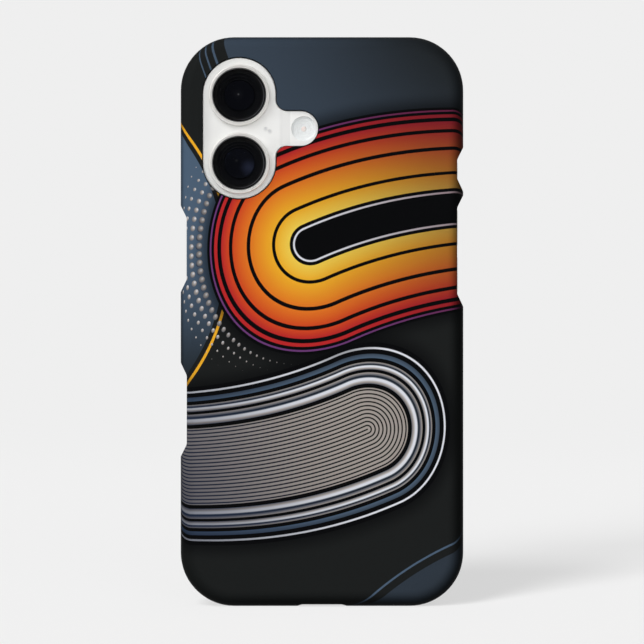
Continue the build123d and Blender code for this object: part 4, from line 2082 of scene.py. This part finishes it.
@dataclass
class Studio:
    """A pale seamless studio: camera, lamps, soft surrounding light, floor and flag.

    Attributes:
        lower: How far the camera stands below the object's middle.
        distance: From the camera to the back of the object.
        lens: Focal length on the sensor, in millimetres.
        sensor: Width of the sensor, in millimetres.
        sight: Nearest and farthest that the camera sees.
        paper: Radiance of the pale surroundings as they show.
        lamps: The soft key light, and the three parts of the tall one that the floor gets.
        fill: Light from all round, and what the camera's side adds to it.
        lobe: How narrow that side's light is.
        floor_size: Half the floor's width.
        floor_drop: How far the floor lies under the object.
        floor_fade: How far out the floor starts to fade, and where it has faded.
        floor_tone: The floor's own colour where it lights the object.
        shadow_tone: How much of the floor's picture its shading makes up.
        shadow_level: Radiance that the floor's lamps and the surroundings give it unshaded.
        flag_size: Half the flag's width.
        flag_place: Where the flag hangs.
        flag_tone: The flag's colour.
    """

    lower: float = 0.00013
    distance: float = 0.694
    lens: float = 147.0
    sensor: float = 36.0
    sight: Pair = (0.01, 50.0)
    paper: float = 0.863
    lamps: Tuple[Lamp, ...] = (
        Lamp("key", Lights.OBJECT, turn=40.0, height=36.0, wide=42.0, power=1.03),
        Lamp("floor_key_low", Lights.FLOOR, turn=28.0, height=10.0, wide=17.0, power=2.4),
        Lamp("floor_key_middle", Lights.FLOOR, turn=28.0, height=28.0, wide=17.0, power=1.9),
        Lamp("floor_key_high", Lights.FLOOR, turn=28.0, height=48.0, wide=17.0, power=1.68),
    )
    fill: Pair = (0.20, 4.8)
    lobe: float = 8.0
    floor_size: float = 6.0
    floor_drop: float = 0.00002
    floor_fade: Pair = (0.45, 1.1)
    floor_tone: float = 0.36
    shadow_tone: float = 0.25
    shadow_level: float = 1.03
    flag_size: float = 0.9
    flag_place: Point = (0.35, -1.7, 0.3)
    flag_tone: float = 0.01

    def camera(self) -> None:
        """The camera, level with the phone's middle."""
        low, high = CAD_BOX
        data = bpy.data.cameras.new("camera")
        data.sensor_width, data.lens = self.sensor, self.lens
        data.clip_start, data.clip_end = self.sight
        made = bpy.data.objects.new("camera", data)
        made.location = (0.0, low.y - self.distance, (low.z + high.z) / 2 - self.lower)
        made.rotation_euler = UPRIGHT
        bpy.context.scene.collection.objects.link(made)
        bpy.context.scene.camera = made

    @staticmethod
    def _shader(graph: Graph, kind: str, **values: Input) -> bpy.types.NodeSocket:
        """A shader node with some of its inputs filled, as its output.

        Args:
            graph: Where it goes.
            kind: The node's type, without its ShaderNode prefix.
            **values: Its inputs by name.

        Returns:
            The node's output.
        """
        made = graph.node(kind)
        for name, value in values.items():
            graph.feed(made.inputs[name], value)
        return made.outputs[0]

    @staticmethod
    def _join(
        graph: Graph, share: Number, first: bpy.types.NodeSocket, second: bpy.types.NodeSocket
    ) -> bpy.types.NodeSocket:
        """Mixes two shaders.

        Args:
            graph: Where they are.
            share: How much of the second shows.
            first: The first shader.
            second: The second shader.

        Returns:
            Both, mixed.
        """
        made = graph.node("MixShader")
        for socket, value in zip(made.inputs, (share, first, second)):
            graph.feed(socket, value)
        return made.outputs[0]

    @staticmethod
    def _parts(graph: Graph, kind: str) -> Dict[str, Field]:
        """A kind of texture coordinate, taken apart.

        Args:
            graph: Where they go.
            kind: Which coordinate.

        Returns:
            Its parts, by axis.
        """
        made = graph.node("SeparateXYZ")
        graph.feed(made.inputs[0], graph.node("TexCoord").outputs[kind])
        return {axis: graph.out(made, axis) for axis in "XYZ"}

    @staticmethod
    def _seen(graph: Graph) -> Field:
        """1 for rays from the camera, in gloss or through glass, else 0.

        Args:
            graph: Where it goes.

        Returns:
            A number, 0 or 1.
        """
        path = graph.node("LightPath")
        names = ("Is Camera Ray", "Is Glossy Ray", "Is Transmission Ray")
        first, second, third = (graph.out(path, name) for name in names)
        return first.most(second).most(third)

    def world(self) -> None:
        """Even pale surroundings for camera, gloss and glass, and a soft fill for the rest."""
        made = bpy.data.worlds.new("studio")
        graph = blank_graph(made)
        front = (self._parts(graph, "Generated")["Y"] * -1.0).most(0.0)
        even_fill, front_fill = self.fill
        strength = graph.maths("POWER", front, self.lobe) * front_fill + even_fill
        light = self._shader(graph, "Background", Strength=strength)
        wall = self._shader(graph, "Background", Color=even(self.paper))
        joined = self._join(graph, self._seen(graph), light, wall)
        graph.feed(graph.node("OutputWorld").inputs["Surface"], joined)
        bpy.context.scene.world = made

    def _paper(self) -> bpy.types.Material:
        """The floor's paper, which keeps the object's shadow and fades into the surroundings.

        Returns:
            The material.
        """
        made = bpy.data.materials.new("paper")
        graph = blank_graph(made)
        plain = self._shader(graph, "BsdfDiffuse", Color=even(self.floor_tone))
        shaded = self._shader(graph, "BsdfDiffuse", Color=even(self.shadow_tone))
        glow = self.paper - self.shadow_tone * self.shadow_level
        shown = graph.node("AddShader")
        graph.feed(shown.inputs[0], shaded)
        graph.feed(shown.inputs[1], self._shader(graph, "Emission", Color=even(1.0), Strength=glow))
        far = self._shader(graph, "Emission", Color=even(self.paper))
        parts = self._parts(graph, "Object")
        faded = graph.hypot(parts["X"], parts["Y"]).rise(*self.floor_fade)
        picture = self._join(graph, faded, shown.outputs[0], far)
        joined = self._join(graph, self._seen(graph), plain, picture)
        graph.feed(graph.node("OutputMaterial").inputs["Surface"], joined)
        return made

    @staticmethod
    def _card(name: str, half: float, material: bpy.types.Material) -> bpy.types.Object:
        """A flat square that belongs to the studio.

        Args:
            name: Its name.
            half: Half its width.
            material: Its material.

        Returns:
            The square, lying flat in the middle.
        """
        shape = bmesh.new()
        bmesh.ops.create_grid(shape, x_segments=1, y_segments=1, size=half)
        made = bpy.data.objects.new(name, Maker.finished(name, shape))
        made.data.materials.append(material)
        bpy.context.scene.collection.objects.link(made)
        return made

    def floor(self) -> bpy.types.Object:
        """A wide pale floor under the object.

        Returns:
            The floor.
        """
        made = self._card("floor", self.floor_size, self._paper())
        made.location.z = CAD_BOX[0].z - self.floor_drop
        return made

    def flag(self) -> None:
        """A dark card behind the camera, seen only in glossy and clear surfaces."""
        dark = bpy.data.materials.new("flag")
        dark.use_nodes = True
        shader = dark.node_tree.nodes["Principled BSDF"]
        shader.inputs["Base Color"].default_value = (*even(self.flag_tone), 1.0)
        made = self._card("flag", self.flag_size, dark)
        made.location = self.flag_place
        made.rotation_euler = UPRIGHT
        made.visible_camera = made.visible_diffuse = made.visible_shadow = False

    def build(self) -> None:
        """Sets the whole studio and the way pictures are shown."""
        self.camera()
        self.world()
        floor = self.floor()
        for lamp in self.lamps:
            lamp.build(floor)
        self.flag()
        bpy.context.scene.view_settings.view_transform = "Standard"


def main() -> None:
    """Builds and dresses every sub-assembly, then the studio."""
    logging.basicConfig(level=logging.INFO, format="%(name)s %(message)s")
    dresser = Dresser(Effects())
    lenses, flash, socket = RearLenses(), Flash(), Socket()
    PrintedCase().dress(dresser)
    lenses.build(dresser)
    flash.build(dresser)
    BackGlass().dress(dresser)
    lenses.dress(dresser)
    flash.dress(dresser)
    Band().dress(dresser)
    socket.build(dresser)
    socket.dress(dresser)
    Front().dress(dresser)
    Inside().dress(dresser)
    Studio().build()


if __name__ == "__main__":
    main()
